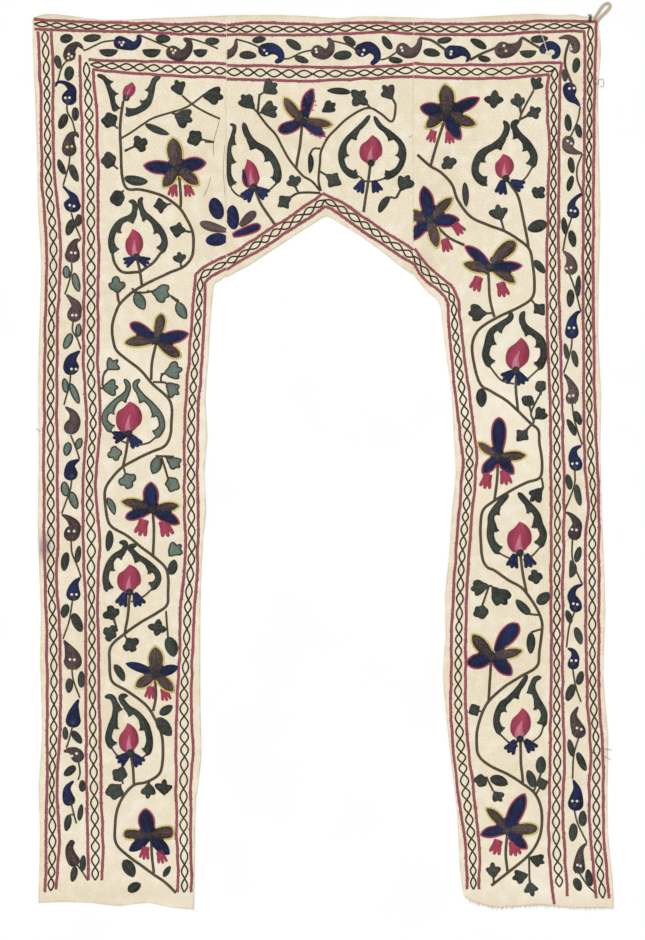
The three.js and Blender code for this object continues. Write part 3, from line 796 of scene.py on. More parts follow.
# border vine: paisley bodies with a tail, stems between them, small leaves beside
# a paisley is its thread, its path from the tail, its width, its eyes, white unless another thread is
# named, and what only some have
paisleyLook = {"stations": 30, "tailWidth": 2.6, "tone": 0.45, "slant": 0.7, "lift": 0.2,
               "eye": (1.45, 0.8, 0.8), "calyx": (2.2, 0.7), "swell": 1.6, "crest": (1.9, 0.9, 1.2),
               "tip": 0.05, "round": 0.98, "roundRange": (0.18, 0.55)}
borderLook = {"stem": 1.9, "stoutStem": 2.8, "stoutFrom": 410, "stoutAbove": 70}
leafLook = {"stations": 16, "lean": 0.92, "edge": 3.6, "lift": 0.2, "tones": (0.3, 0.6),
            "borderBend": (-0.04, 0.04), "fieldBend": (-0.06, 0.06)}
moonLook = {"stations": 18, "hang": 0.86, "flat": 0.16, "lift": 0.15, "tone": 0.4}
paisleys = [
    ("brown", [(83, 49), (80, 45.5), (76.5, 44.5), (71, 49), (69.5, 55), (71.5, 61)], 13, [(69, 54.3),
      (71.8, 56.5), (68.2, 58.2, "yellow")], {"fade": 0.3}),
    ("navy", [(55.5, 87), (57.5, 82.3), (65, 83), (71.5, 89), (69.5, 97), (67, 105)], 15.5, [(65.4, 98),
      (69.5, 97.8)], {"calyx": (67.5, 101.5), "swell": 2.8}),
    ("brown", [(78.5, 138), (76, 133.5), (71, 136), (69, 144), (69.3, 150), (69.7, 156.5)], 14.8,
      [(67.3, 147, "yellow"), (72, 146.5, "yellow")], {"fade": 0.25}),
    ("navy", [(62.5, 185.5), (67, 190.5), (73, 197), (72.5, 204), (70.7, 212.5)], 17.5, [(69.8, 205.3),
      (74, 206.3)], {"calyx": (71, 209), "swell": 3.2}),
    ("brown", [(81, 239.5), (76, 241), (73, 246.5), (72.5, 254), (71, 262.8)], 15.4, [(71.3, 252.7),
      (75.4, 253)], {"fade": 0.35}),
    ("brown", [(66, 294.3), (71, 299), (76.2, 306), (74.5, 314), (73.4, 322)], 14.6, [(72.5, 315.3),
      (76.2, 315.3)], {"calyx": (73.4, 320), "fade": 0.45}),
    ("navy", [(80, 350.6), (72, 358.5), (71, 366.5), (74, 374.5)], 16.2, [(71.6, 369), (76, 369.2)],
      {"calyx": (72.6, 372.5)}),
    ("brown", [(65, 406.6), (72.5, 413), (74.5, 421), (71.3, 428), (70.5, 434.6)], 15.4, [], {"fade": 0.4}),
    ("navy", [(79.7, 459.3), (71.5, 464.5), (70.6, 472), (72.4, 480.5)], 14.2, [], {"calyx": (72.4, 476)}),
    ("brown", [(61.3, 514.3), (69.5, 519), (74.6, 526.5), (71.6, 534.5), (71, 541.5)], 16, [(68.8, 531.2),
      (74.2, 531.2)], {"calyx": (71.4, 533), "fade": 0.25}),
    ("navy", [(80.5, 577.3), (75.5, 583), (73.4, 592), (74.3, 601)], 14.4, [(71.8, 594.5), (76.5, 594.5)],
      {"calyx": (74, 598)}),
    ("brown", [(63.7, 640), (68.5, 648), (72.6, 658.5), (72, 670)], 18.4, [(70, 659.5), (74.3, 659.7)],
      {"fade": 0.35}),
    ("navy", [(79, 699), (76, 705), (73.5, 716.5), (73.3, 728)], 15.4, [], {"calyx": (73.4, 722.5)}),
    ("brown", [(63.5, 751.6), (70, 750.5), (76.5, 754), (78.5, 762.5)], 13.6, [(72, 756), (76.6, 753.6)],
      {"calyx": (75.6, 757), "fade": 0.3}),
    ("navy", [(73.8, 780.6), (67.5, 788), (68, 797), (71.6, 805.5)], 12.4, [], {"calyx": (71.4, 802.5)}),
    ("brown", [(73.3, 840), (69.5, 848), (72, 858), (77.5, 865.5)], 12.4, [], {"tail": 5.4, "fade": 0.3}),
    ("navy", [(138, 34.4), (139, 40.5), (134, 45.6), (127, 44.5), (120, 42.5), (113.5, 41)], 13.4,
      [(119.6, 42.4, "pink"), (123.4, 42.4), (121.8, 45)], {"tail": 4.4}),
    ("brown", [(183, 38.8), (189, 41.5), (188, 50), (181, 55.5), (174, 53), (167, 48.5)], 14,
      [(171.6, 49.4, "yellow"), (175.3, 50.6), (173.3, 53)], {"tail": 4.6, "fade": 0.35}),
    ("brown", [(236, 38.8), (235.4, 46.5), (231.5, 52.5), (222, 56)], 9.6, [], {"fade": 0.4,
      "cut": (227.2, 400)}),
    ("navy", [(274.6, 62.5), (281, 58.8), (279.4, 52.4), (272, 48.6), (265, 50), (258.6, 53)], 13.4,
      [(264, 50.2), (266.8, 53.6)], {"tail": 4.4, "calyx": (262.6, 49.8)}),
    ("brown", [(327.4, 37.8), (331.2, 43), (330, 50.6), (324, 54), (317.5, 51.5), (311.5, 49)], 13.2,
      [(316, 49.3), (316.6, 52)], {"tail": 4.4, "fade": 0.55}),
    ("navy", [(370.4, 64.6), (376.8, 59), (376, 52), (369, 47.4), (362, 50), (355.4, 53.4)], 13.8,
      [(364, 50.2), (362.4, 54.4)], {"tail": 4.4, "calyx": (358.6, 51.6)}),
    ("brown", [(420, 37.4), (419, 45), (414, 52), (408, 52.6), (402.6, 49.5), (396.6, 46.5)], 13.6,
      [(401.4, 47.6), (402.4, 50.6)], {"tail": 4.4, "fade": 0.6}),
    ("navy", [(466, 62.4), (468.8, 57), (463, 51.5), (456, 51.6), (449, 52.6), (444, 52.4)], 14.2,
      [(451.4, 51.6), (450.8, 54.4)], {"calyx": (448, 52.2)}),
    ("brown", [(522, 36.8), (518, 45), (509.5, 50), (501, 49.8), (494.6, 48.8)], 17, [(504, 45.8),
      (506, 51, "yellow")], {"calyx": (499.4, 50), "fade": 0.5}),
    ("navy", [(551.4, 58), (557, 55), (557, 48.6), (551, 45.2), (545, 47.6), (541.4, 53.6)], 9.6,
      [(547, 52.4), (549.4, 53.6)], {"tail": 4.6, "calyx": (543.4, 50.4)}),
    ("brown", [(558.4, 38.6), (566, 37), (573, 40), (575.4, 46), (572, 53)], 10.6, [(570.4, 46.4),
      (571.4, 49)], {"fade": 0.7}),
    ("navy", [(580, 106.4), (576, 101.6), (570.8, 97), (569.6, 90), (572, 82.6)], 14.2, [(569.4, 88.6),
      (574, 88.2)], {"calyx": (571.4, 85)}),
    ("brown", [(582.6, 153.6), (574, 151.6), (568, 147.6), (568.4, 141.6), (569.6, 136)], 12.6,
      [(567.8, 141), (571.4, 143.6)], {"calyx": (568.8, 138), "fade": 0.85}),
    ("navy", [(582.6, 193.4), (575.4, 198.6), (571.6, 205.6), (573, 212), (571.8, 218.4)], 13, [(571, 210.6),
      (575, 211.2)], {"swell": 3.0, "tail": 3.6, "calyx": (572, 214.6)}),
    ("brown", [(563, 250.8), (569, 256.6), (571.4, 264.6), (569.4, 274.6)], 13.4, [(566.6, 268.6),
      (571, 267.6)], {"fade": 0.85}),
    ("navy", [(581, 311.2), (576.6, 313.4), (572.4, 321), (571.8, 329), (572, 339)], 13.8, [(569, 328),
      (574, 328)], {"calyx": (572, 332.4)}),
    ("brown", [(563.8, 373.6), (569.6, 381.6), (573.6, 391.6), (572, 397.6), (571.8, 404.4)], 12.8,
      [(569.4, 396), (573.2, 395.6)], {"calyx": (571.8, 400.6), "fade": 0.65}),
    ("navy", [(581.8, 445.4), (574.6, 449.6), (573.4, 457), (575.8, 464), (575, 471)], 13.6, [(572.4, 463.8),
      (577, 463.4)], {"calyx": (575, 467.6)}),
    ("brown", [(565.4, 511.8), (572, 516), (577, 524), (575, 532), (572.6, 540)], 13.4, [(572, 529.4),
      (576.4, 530)], {"fade": 0.3}),
    ("navy", [(582.8, 584.4), (575, 588), (571.6, 595.6), (575.4, 604), (575.8, 612.6)], 12.6,
      [(573.4, 603.6), (577.4, 604.4)], {"calyx": (575.6, 608.4)}),
    ("navy", [(567.4, 648.2), (573, 651), (575, 657.4), (573.4, 663.4), (572.6, 669.6)], 11.6,
      [(571.4, 660.6), (576, 660.6)], {"calyx": (573, 663.6)}),
    ("brown", [(578.2, 706.4), (573.8, 715.6), (576, 724.6), (578.6, 731), (579, 738.4)], 14.4, [(577, 728),
      (581.4, 729.4)], {"calyx": (579, 734), "fade": 0.3}),
    ("navy", [(573, 779.4), (576.8, 789), (576.2, 799.6), (574.4, 811)], 15.8, [(572.4, 801), (577, 801.2)],
      {"calyx": (574.6, 805.4)}),
    ("brown", [(587, 842.8), (581.4, 849), (579.4, 860), (579, 874)], 12.4, [(577.4, 865), (580.6, 866)],
      {"calyx": (579, 870), "fade": 0.35}),
]
borderStems = [
    [(67.5, 60), (62, 67), (58, 81)], [(66.8, 105), (67.3, 112), (72.5, 121.5), (75.3, 132.8)],
    [(70, 156), (68.7, 165), (66, 176), (63.2, 185)], [(71, 213), (75, 225), (81, 239)],
    [(71.3, 263), (71.8, 272), (67.5, 287), (65, 294.5)], [(73.3, 321), (72.5, 331), (77, 338), (81, 349)],
    [(70.5, 375), (69, 387), (64, 405)], [(70.5, 435), (76, 448), (79.5, 459)],
    [(72, 480), (70, 491), (61.5, 513.5)], [(71, 541), (72, 553), (77, 565), (81, 577.5)],
    [(72.5, 601), (69, 621), (63, 639)], [(72, 670), (73.5, 681), (80, 698)],
    [(72, 728), (69, 740), (66.5, 748)], [(78.5, 762), (80, 773), (78, 780)], [(71.5, 805), (76.5, 823.5)],
    [(77, 864), (82, 871.5), (88, 880.5)], [(69.5, 814.5), (74.5, 814.5)],
    [(83, 49), (84.5, 50.5), (102, 42.2), (114, 40.5)], [(139, 34.8), (155.5, 41.8), (168.5, 47.3)],
    [(184, 38.6), (193, 39), (204, 42.8), (218, 48.6)], [(236, 39.4), (250.5, 43.3), (262, 49)],
    [(281, 59), (289.5, 58.6), (301.5, 52.3), (315, 49.6)], [(331, 40.5), (347.5, 44.6), (359, 52)],
    [(377, 59.6), (386.5, 58.6), (400, 49.6)], [(419.6, 37.6), (432.5, 41), (447, 51)],
    [(470, 60), (482, 53.5), (497, 47.4)], [(522, 37.4), (531, 42.4), (543.5, 50.4)],
    [(569.5, 41), (565.6, 53.6), (565.6, 67), (571.6, 83)], [(580, 106.6), (578, 120), (570.6, 137)],
    [(582.6, 154), (577.4, 166), (577.4, 180), (582.4, 193)], [(571.6, 218), (566, 235), (563, 251)],
    [(569.5, 274), (575, 290), (581, 311.2)], [(572, 338), (571, 350), (563.6, 373)],
    [(572, 403), (574.6, 421), (582, 445)], [(574.8, 470), (574.4, 485), (565, 510.5)],
    [(572.5, 539), (573, 561), (582.4, 584.4)], [(575, 611), (569, 627), (566.6, 647.6)],
    [(572.4, 668), (575, 683), (581, 702)], [(578.6, 737), (573.5, 757), (572.6, 779)],
    [(574.4, 810), (578, 824), (586.8, 842.6)], [(579.4, 873), (587, 885), (596, 894)],
]
# leaves of the border: base, tip, width; those between two rows of the left side are teal
borderLeaves = [
    (56.5, 55, 59.5, 69, 7), (70, 66, 68, 81, 10), (75, 107, 75, 121, 7.5), (66, 113.5, 59.5, 129, 9),
    (65, 174.5, 58.5, 159, 6.8), (71, 164, 78, 181.5, 8), (73.5, 219, 67.5, 235.5, 9),
    (77, 226.5, 79, 214, 7.5), (67, 552, 64, 571, 8.5), (77, 563, 79.5, 545.5, 6.5),
    (67.5, 604, 63.5, 618, 8.5), (73, 613, 81.5, 632, 10), (69.5, 678, 68.5, 693, 8),
    (81.5, 688, 81.5, 671, 7.5), (65.5, 740, 65, 726.5, 6), (71.5, 731, 81.5, 743.5, 8),
    (75.5, 766, 64, 775.5, 8.4), (82, 792, 82, 780, 7.2), (79, 821, 81.6, 804, 5.8),
    (69, 814.5, 66, 831, 7.5), (83, 871, 83.6, 855, 6.6), (75, 866, 72, 882, 7.2), (60, 40.4, 73, 37.4, 9.4),
    (83, 39, 101, 36.6, 8), (155.5, 38.6, 170.5, 38.4, 9), (205, 41, 219.5, 40.6, 8),
    (252, 41, 266, 38.6, 7), (239, 55.4, 256.6, 56, 8.5), (301, 49.4, 286, 40, 8.6),
    (294.5, 57, 308.5, 62, 7), (355.4, 45.4, 343.4, 36.4, 8), (352, 54.4, 333, 56.4, 9.6),
    (392, 49, 382.6, 36, 7.6), (388.5, 59, 403, 61, 6.6), (437, 41, 452, 38.6, 6.6),
    (423, 51.6, 440, 54.4, 8.6), (486.4, 48.6, 470.4, 39.4, 8), (478, 57.4, 490.6, 60, 6.6),
    (530.4, 39.2, 548, 38.2, 8), (577, 57.4, 574.4, 73, 8), (563.6, 69, 565.2, 82, 6.2),
    (569, 131.5, 567.4, 114, 7.5), (577.5, 124, 580.5, 138, 7), (570.5, 157, 573, 173.5, 7),
    (572.5, 175.5, 568, 191.5, 6.6), (566, 235, 563.6, 217, 6.4), (570.5, 230, 574, 247, 8),
    (578, 297, 579, 275, 5.8), (570.5, 289, 569.5, 307, 8), (567, 359.5, 564.6, 343, 5.4),
    (573, 350, 577, 367.5, 6.6), (574.5, 411, 580.5, 425, 7.5), (575.5, 436, 567, 419, 6.8),
    (570, 490, 567, 474, 7), (576.5, 484, 580.5, 506, 7.2), (576, 562.5, 580, 546.5, 7.2),
    (571, 623.5, 566.5, 610, 6.6), (575.5, 627, 581, 644.5, 8), (578, 685, 582, 671, 7.6),
    (573.6, 684, 567, 701, 9), (573, 757, 569, 739, 6.8), (577.5, 752, 586, 771, 7.8),
    (583, 826.5, 583, 810.5, 8.6), (573.5, 823, 572, 841.5, 9), (591, 886.5, 588, 869, 7.6),
    (575, 878, 580, 891, 8.6),
]
borderTealLeaves = [
    (67, 278.6, 66, 265.4, 8), (74, 272.6, 79, 292, 8), (71, 333, 64, 349, 8.6), (78, 337, 79, 323.4, 6.8),
    (66, 393, 64, 378, 7.2), (70, 383, 79, 404, 7.6), (69, 442, 66, 456, 8.6), (77, 449.4, 81.4, 438, 7.6),
    (66.5, 496.5, 64, 481.4, 9), (71, 491.4, 77, 509, 9),
]
# half-moons: ends of the flat side, how far the round side hangs below it
halfMoons = [((99, 50), (118, 50), 8), ((142, 50), (161, 50), 9), ((193, 50.4), (207.6, 50), 8.4),
             ((519.4, 51.4), (536.6, 51), 8), ((570.4, 560), (569.8, 578), -8)]


def sewPaisley(thread, knots, wide, eyes, shape):
    # a comma on a curved path: the half width rises from the tail to the body and closes round the stem end
    t = np.linspace(0, 1, paisleyLook["stations"])
    path = pick(smoothPath(onCloth(knots), 2.0), t)
    body = wide / 2
    tail = shape.get("tail", paisleyLook["tailWidth"]) / 2
    long = np.hypot(*np.diff(path, axis=0).T).sum() / photo["pixel"]
    peak = 1 - np.clip(body * paisleyLook["round"] / long, *paisleyLook["roundRange"])
    rise = np.clip(t / peak, 0, 1)
    most, less, power = paisleyLook["crest"]
    swell = rise ** shape.get("swell", paisleyLook["swell"])
    half = tail + (body - tail) * swell * (most - less * rise ** power)
    half = np.minimum(half, body) * np.sqrt(np.clip(1 - (np.clip(t - peak, 0, 1) / (1 - peak)) ** 2, 0, 1))
    half = half * np.sqrt(np.clip(t / paisleyLook["tip"], 0, 1)) * photo["pixel"]
    slant = paisleyLook["slant"] if thread == "navy" else None
    tone = shape.get("fade", paisleyLook["tone"])
    sewBlade(thread, path, half, half, paisleyLook["lift"], tone, slant=slant, cut=cutSides(shape.get("cut")))
    if "calyx" in shape:
        sewDisc("green", shape["calyx"], *paisleyLook["calyx"])
    for x, y, *dyed in eyes:
        sewDisc(dyed[0] if dyed else "white", (x, y), *paisleyLook["eye"])


def sewLeaf(thread, base, tip, wide, lift=0.15, tone=0.45, edge=None, bend=0.0, power=0.48):
    # an oval leaf: the half width is a sine of the share of its length, to a power that blunts its ends
    t = np.linspace(0, 1, leafLook["stations"])
    path = bowedPath(base, tip, bend * np.sin(np.pi * t))
    half = wide / 2 * photo["pixel"] * np.sin(np.pi * t ** leafLook["lean"]) ** power
    sewBlade(thread, path, half, half, lift, tone, edge=edge, edgeWidth=leafLook["edge"])


for knots in borderStems:
    isStout = knots[0][0] > borderLook["stoutFrom"] and knots[0][1] < borderLook["stoutAbove"]
    sewLine("olive", knots, borderLook["stoutStem" if isStout else "stem"], 2 if isStout else 1, 0.1, 0.4)
for row in paisleys:
    sewPaisley(*row)
for x0, y0, x1, y1, wide in borderLeaves:
    bend = chance.uniform(*leafLook["borderBend"])
    sewLeaf("green", (x0, y0), (x1, y1), wide, bend=bend, tone=chance.uniform(*leafLook["tones"]))
for x0, y0, x1, y1, wide in borderTealLeaves:
    sewLeaf("teal", (x0, y0), (x1, y1), wide, edge="green", bend=chance.uniform(*leafLook["borderBend"]))
for a, b, hang in halfMoons:
    a, b = onCloth(a), onCloth(b)
    t = np.linspace(0, 1, moonLook["stations"])
    half = abs(hang) * photo["pixel"] * moonLook["hang"] * np.sin(np.pi * t) ** 0.5
    path = a + (b - a) * t[:, None]
    flat = half * moonLook["flat"]
    left, right = (flat, half) if hang > 0 else (half, flat)
    sewBlade("green", path, left, right, moonLook["lift"], moonLook["tone"], slant=0.0)
print("border vine sewn:", len(paisleys), "paisleys")

# field: winding stems
vines = {
    "stout": [[(123, 101.5), (120, 130), (121, 153), (122, 175), (127, 188.5), (139, 189.5), (151, 192),
      (165, 197), (179.5, 208), (187.5, 220), (193, 233.5), (193.5, 247), (191.5, 257.5), (183.5, 267),
      (170, 272.5), (154, 280), (135, 290.5), (121, 302.5), (116, 312), (112.5, 323.5), (112.5, 336),
      (116, 350), (128, 360.5), (141, 371), (152.5, 384), (168, 398), (172, 408), (171.5, 422), (170, 436),
      (164.5, 446), (151, 452), (137, 459), (123, 466.5), (113, 476.5), (106, 488), (105, 499), (107.5, 519),
      (112, 527), (127, 536), (140, 546), (153, 556), (165, 567), (168, 578), (168, 592), (167, 605),
      (157, 613), (141, 622), (125, 633.5), (114.5, 642), (109.7, 650), (109.7, 662.5), (110.5, 676.5),
      (114, 683.5), (126, 690.5), (145.7, 705), (155, 719), (161, 732.5), (163, 745), (161.6, 768),
      (157, 776), (146, 782), (134, 785), (124, 795.5), (117.5, 809), (115, 824.5), (116, 843), (129, 856.5),
      (154, 874.5), (163.5, 881), (176, 893)], [(417.5, 154.5), (430, 166), (441.5, 173), (452, 184.5),
      (457, 199), (470, 216), (488, 225), (504.5, 231), (519.5, 240), (529.5, 249), (532.5, 264),
      (534.5, 289), (531, 299), (519.5, 307), (498, 317), (479, 329.5), (472.5, 343.5), (474, 363),
      (480.5, 384.5), (491.5, 391.5), (507, 401), (518, 411), (531, 423.5), (538.5, 430.5), (539.5, 445),
      (542, 463), (540, 477.5), (527, 482.5), (511, 490.5), (494.5, 501), (483, 510.5), (480.5, 527.5),
      (481, 545), (483, 560.5), (488, 567.8), (493.5, 569.8), (507, 579.2), (521, 587.5), (529, 596.5),
      (536.5, 608), (541.5, 620.5), (542, 631), (539.5, 651), (537, 666.5), (518.5, 677.5), (503, 688),
      (489, 701), (482, 714), (477.5, 729), (476.8, 743), (478.5, 755.5), (490, 765.5), (508, 774.5),
      (522.5, 783.5), (533, 791.5), (539.5, 802), (542, 815), (541, 830.5), (536, 845), (526.5, 857),
      (508, 872.5), (491, 885.5)]],
    "slender": [[(257.5, 112.5), (265.5, 123.5), (276, 135), (282.5, 148), (288.5, 158.5), (296, 168),
      (303.5, 176), (312, 181.5), (320, 191)], [(259.5, 94), (257.5, 112)], [(321, 191), (318.5, 180.5),
      (320, 162.5), (321, 151), (327.5, 138.5), (337, 128), (347.5, 118.5), (358, 111.5), (369.7, 108),
      (381, 114), (392, 121.5), (395.5, 106), (393, 100)], [(369.7, 107.5), (364.5, 100.5)], [(320, 193),
      (298.5, 193), (291, 197)]],
    "thin": [[(121, 138.5), (132.5, 131.5), (144.5, 123.5), (152.5, 118.5), (170.5, 112.5), (182, 109.5),
      (192, 104), (203.5, 95)], [(182, 95.5), (192, 104), (206, 112.5), (220, 119)], [(166, 611),
      (168, 637)], [(541, 392), (531, 413), (534, 421), (532, 424)], [(155.5, 456), (174, 456.5)],
      [(487, 778), (493, 791)], [(529, 856), (529.5, 881.5)]],
}
# stems: width, rows, lift, tone
stemLook = {"stout": (3.0, 2, 0.1, 0.45), "slender": (2.5, 2, 0.1, 0.2), "thin": (2.2, 1, 0.1, 0.4),
            "lobed": (2.2, 1, 0.15, 0.4), "leaf": (2.3, 1, 0.1, 0.4), "flower": (2.9, 2, 0.15, 0.45)}
for build, lines in vines.items():
    for knots in lines:
        sewLine("olive", knots, *stemLook[build])

# leaves of the field; a lobed leaf is given by its middle, its stem point and its size in pixels
# forms: angles in degrees from the tip round to the stem, and the radius there over half the size
lobedForms = {
    "ivy": ((0, 14, 34, 56, 72, 88, 112, 140, 166, 180),
      (1.12, 1.0, 0.6, 0.96, 1.1, 0.96, 0.74, 0.68, 0.76, 1.0)),
    "fan": ((0, 13, 28, 44, 60, 80, 108, 140, 165, 180),
      (1.1, 1.02, 0.72, 1.0, 1.12, 1.0, 0.78, 0.72, 0.9, 1.1)),
    "clover": ((0, 22, 45, 68, 90, 112, 135, 158, 180),
      (1.06, 1.0, 0.66, 1.0, 1.06, 0.98, 0.72, 0.82, 0.86)),
    "cross": ((0, 16, 45, 74, 90, 106, 135, 162, 180),
      (1.1, 0.96, 0.62, 0.94, 1.08, 0.94, 0.62, 0.92, 1.06)),
    "star": ((0, 20, 45, 70, 90, 110, 135, 160, 180), (1.16, 0.9, 0.72, 0.9, 1.12, 0.9, 0.72, 0.9, 1.14)),
    "blob": ((0, 14, 38, 60, 80, 100, 126, 150, 180), (0.86, 0.95, 1.08, 1.02, 0.88, 0.98, 1.02, 0.9, 1.02)),
    "square": ((0, 22, 45, 68, 90, 112, 135, 158, 180),
      (0.82, 0.88, 1.08, 0.88, 0.82, 0.88, 1.08, 0.88, 0.84)),
}
lobedLeaves = [
    ("blob", (109, 120.6), (118, 128.5), 15.5), ("fan", (179, 88.6), (182, 96.4), 15),
    ("fan", (212.4, 96.4), (203, 95.4), 19), ("fan", (182.6, 117), (171.6, 112.6), 19),
    ("blob", (195.6, 138), (214, 142), 15.5), ("clover", (139.4, 144), (124.5, 151), 16),
    ("blob", (109, 161), (118, 169), 15.5), ("blob", (118, 198.4), (123.5, 190), 15.5),
    ("star", (160, 205.4), (171, 204), 14), ("star", (178, 229.4), (191, 232), 15),
    ("ivy", (180, 258.6), (181.5, 267), 13), ("clover", (112, 613.6), (114.6, 623), 16),
    ("clover", (110.8, 633.8), (119, 638), 16), ("clover", (130.6, 645), (124.6, 635), 16.5),
    ("cross", (157.8, 628.4), (166, 630), 17), ("blob", (120, 775), (123, 784), 15),
    ("blob", (114, 791.6), (121, 784), 17), ("ivy", (148.4, 790.6), (149, 780), 16),
    ("ivy", (164.2, 788.6), (163.8, 796.4), 16.4), ("fan", (269.6, 88.6), (260, 95), 16.6),
    ("fan", (247.6, 101.6), (257.6, 112.6), 17), ("fan", (269.4, 109.8), (258, 113.4), 17.5),
    ("fan", (329, 107.8), (322.4, 112), 14), ("cross", (359.4, 97.4), (366, 103), 19.5),
    ("ivy", (388, 92.6), (394, 101), 17), ("star", (333.8, 179.6), (319.7, 171), 16),
    ("clover", (293.4, 181.6), (298.5, 193), 14), ("star", (283.8, 202), (291, 197), 14.5),
    ("fan", (404, 183.6), (396.4, 198), 17), ("cross", (494.5, 100), (494, 107), 18),
    ("clover", (518.6, 101), (521, 115), 14.5), ("ivy", (536.4, 84.6), (532, 92), 14.5),
    ("cross", (534, 112), (520, 119.5), 14.5), ("clover", (448.8, 163.8), (452, 170), 15),
    ("ivy", (499.4, 213.2), (504, 231), 18), ("clover", (538.4, 193.4), (533.4, 199.4), 14.4),
    ("fan", (478, 313.6), (494, 313), 18), ("star", (539, 309), (531, 299.5), 13.5),
    ("blob", (540.8, 386), (541, 395), 12), ("blob", (528.2, 401.4), (531, 412), 12.5),
    ("fan", (540, 413.8), (532.6, 421), 14), ("star", (522.6, 435), (532.5, 423.5), 14),
    ("fan", (536.6, 494), (543, 486.6), 15.5), ("fan", (479.6, 587.8), (491.6, 585.6), 17),
    ("fan", (499.4, 596.4), (491, 585.6), 21), ("blob", (480.4, 611.8), (489, 586), 14.5),
    ("clover", (535.4, 576.8), (537, 584), 15), ("square", (474, 709.4), (483, 712), 12.5),
    ("square", (542, 783.8), (536, 794), 12), ("blob", (480.8, 781.2), (487.6, 777), 13),
    ("ivy", (497.7, 796.4), (493, 790), 13.5), ("fan", (537.2, 860.4), (529, 857), 14),
    ("fan", (521, 876.2), (529, 874), 14.5), ("ivy", (531.3, 888), (529.5, 879), 14.5),
    ("ivy", (492.8, 871), (494, 885), 15.5),
]
tealLobed = [
    ("clover", (116.4, 286), (118, 301), 17), ("fan", (160.4, 293.8), (147, 290.6), 19),
    ("ivy", (112.4, 364.8), (104, 373), 15.5), ("fan", (110.6, 387.6), (100, 388), 16.5),
    ("fan", (172.4, 371.6), (160.5, 374), 18), ("fan", (172.6, 388.8), (164.6, 382), 16),
    ("clover", (114.8, 453.6), (120.4, 452.2), 15.4), ("clover", (127.4, 479.6), (123.6, 468), 17.5),
    ("fan", (173.8, 463), (164, 456), 15), ("blob", (171.8, 484.4), (167, 475.6), 15),
    ("fan", (174.8, 550.6), (168.6, 556.6), 16),
]
# blades of the field: base, tip, width
fieldBlades = [
    (145, 124, 169.5, 134.4, 7.4), (124, 177.6, 148, 181.5, 10), (109.7, 530, 107.5, 551.5, 8),
    (114, 664.5, 124, 681.5, 8.4), (159.5, 714.5, 172.4, 705.6, 9), (157.5, 717.5, 171.4, 735.6, 13),
    (123.4, 860, 133.5, 877, 12.4), (128, 891.5, 141, 884, 10), (163.5, 877, 170.5, 866, 6),
    (351, 92.4, 327, 90.6, 7), (309.8, 153, 309.6, 173.6, 6), (389.7, 196.4, 379, 213, 8),
    (464.7, 182, 466.2, 207, 6.8), (547, 222.6, 527.6, 229.4, 12.4), (534.5, 260, 545, 273, 8),
    (536.5, 603, 549, 592.5, 11.4), (530.5, 614.5, 516, 599.5, 9), (531, 632, 530.5, 654, 9),
    (533.4, 787.6, 527.6, 770, 9.4), (541, 774, 541.6, 756, 10.6), (170.4, 575, 174.4, 559.4, 9.8),
    (167.4, 637, 174, 657, 13), (481.4, 388, 481.8, 407.4, 11), (489.8, 778.2, 508, 784.4, 11),
]
tealBlades = [(135.4, 292.6, 144.4, 309.6, 12), (177.6, 301.6, 186.4, 319, 11), (158, 456.4, 152.6, 474, 12),
              (107, 497.5, 114.5, 515, 7.7)]
leafStems = [
    [(205, 141.5), (214, 142)], [(170, 295.5), (179, 301)], [(107, 370), (103.5, 375), (102.5, 386)],
    [(153, 382), (165, 382.5)], [(161, 382), (161, 376.5), (165, 373)], [(161.5, 457), (168, 478)],
    [(298.5, 193), (294, 184)], [(396, 198), (402, 186)], [(521, 114), (520, 104)],
    [(533.5, 90.5), (521.6, 113), (519.6, 120.5)], [(520, 119.5), (533, 113)], [(504, 230), (499, 214)],
    [(493.5, 313), (480, 314)], [(538.5, 615), (530, 614)], [(541.5, 629), (531, 632)],
    [(320.4, 148.8), (313.4, 148.6), (309.8, 154)], [(390, 197), (396, 198)],
    [(119, 304.5), (118, 296), (116.5, 288)], [(135.5, 292), (144, 292.6), (153, 291)],
    [(171, 297), (178, 302.6)], [(132, 288), (136, 294)], [(158.4, 456), (157, 460)],
    [(117.5, 631.5), (113, 616)], [(119.5, 782), (120.5, 776)], [(532.5, 423.5), (523, 433)],
    [(541.6, 478), (543, 488), (540, 492)], [(489, 586), (481, 610)], [(541, 773), (538, 781), (534, 791)],
    [(334, 180), (319.7, 171)], [(124.5, 151), (137, 145)], [(170, 204), (163, 205)],
    [(190, 232), (179, 229.5)], [(172, 113), (181, 116)],
]


def sewLobedLeaf(thread, form, middle, stem, across, edge=None):
    # a lobed leaf: the radius is read by the angle from its tip, the same on both sides, times slow waves
    c, s = onCloth(middle), onCloth(stem)
    turn = np.arctan2(c[1] - s[1], c[0] - s[0])
    angle = np.linspace(0, 2 * np.pi, lobedLook["stations"], endpoint=False)
    around = np.degrees(np.abs((angle + np.pi) % (2 * np.pi) - np.pi))
    uneven = np.ones_like(angle)
    for waves, sway in lobedLook["sways"]:
        uneven += sway * np.cos(waves * angle + chance.uniform(0, 2 * np.pi))
    radii = across / 2 * photo["pixel"] * np.interp(around, *lobedForms[form]) * uneven
    if np.hypot(*(c - s)) > across * lobedLook["stemFrom"] * photo["pixel"]:
        near, far = lobedLook["stemShares"]
        sewLine("olive", [stem, tuple(np.array(stem) * near + np.array(middle) * far)], *stemLook["lobed"])
    sewLobed(thread, c, radii, turn, leafLook["lift"], chance.uniform(*leafLook["tones"]), edge, turn)


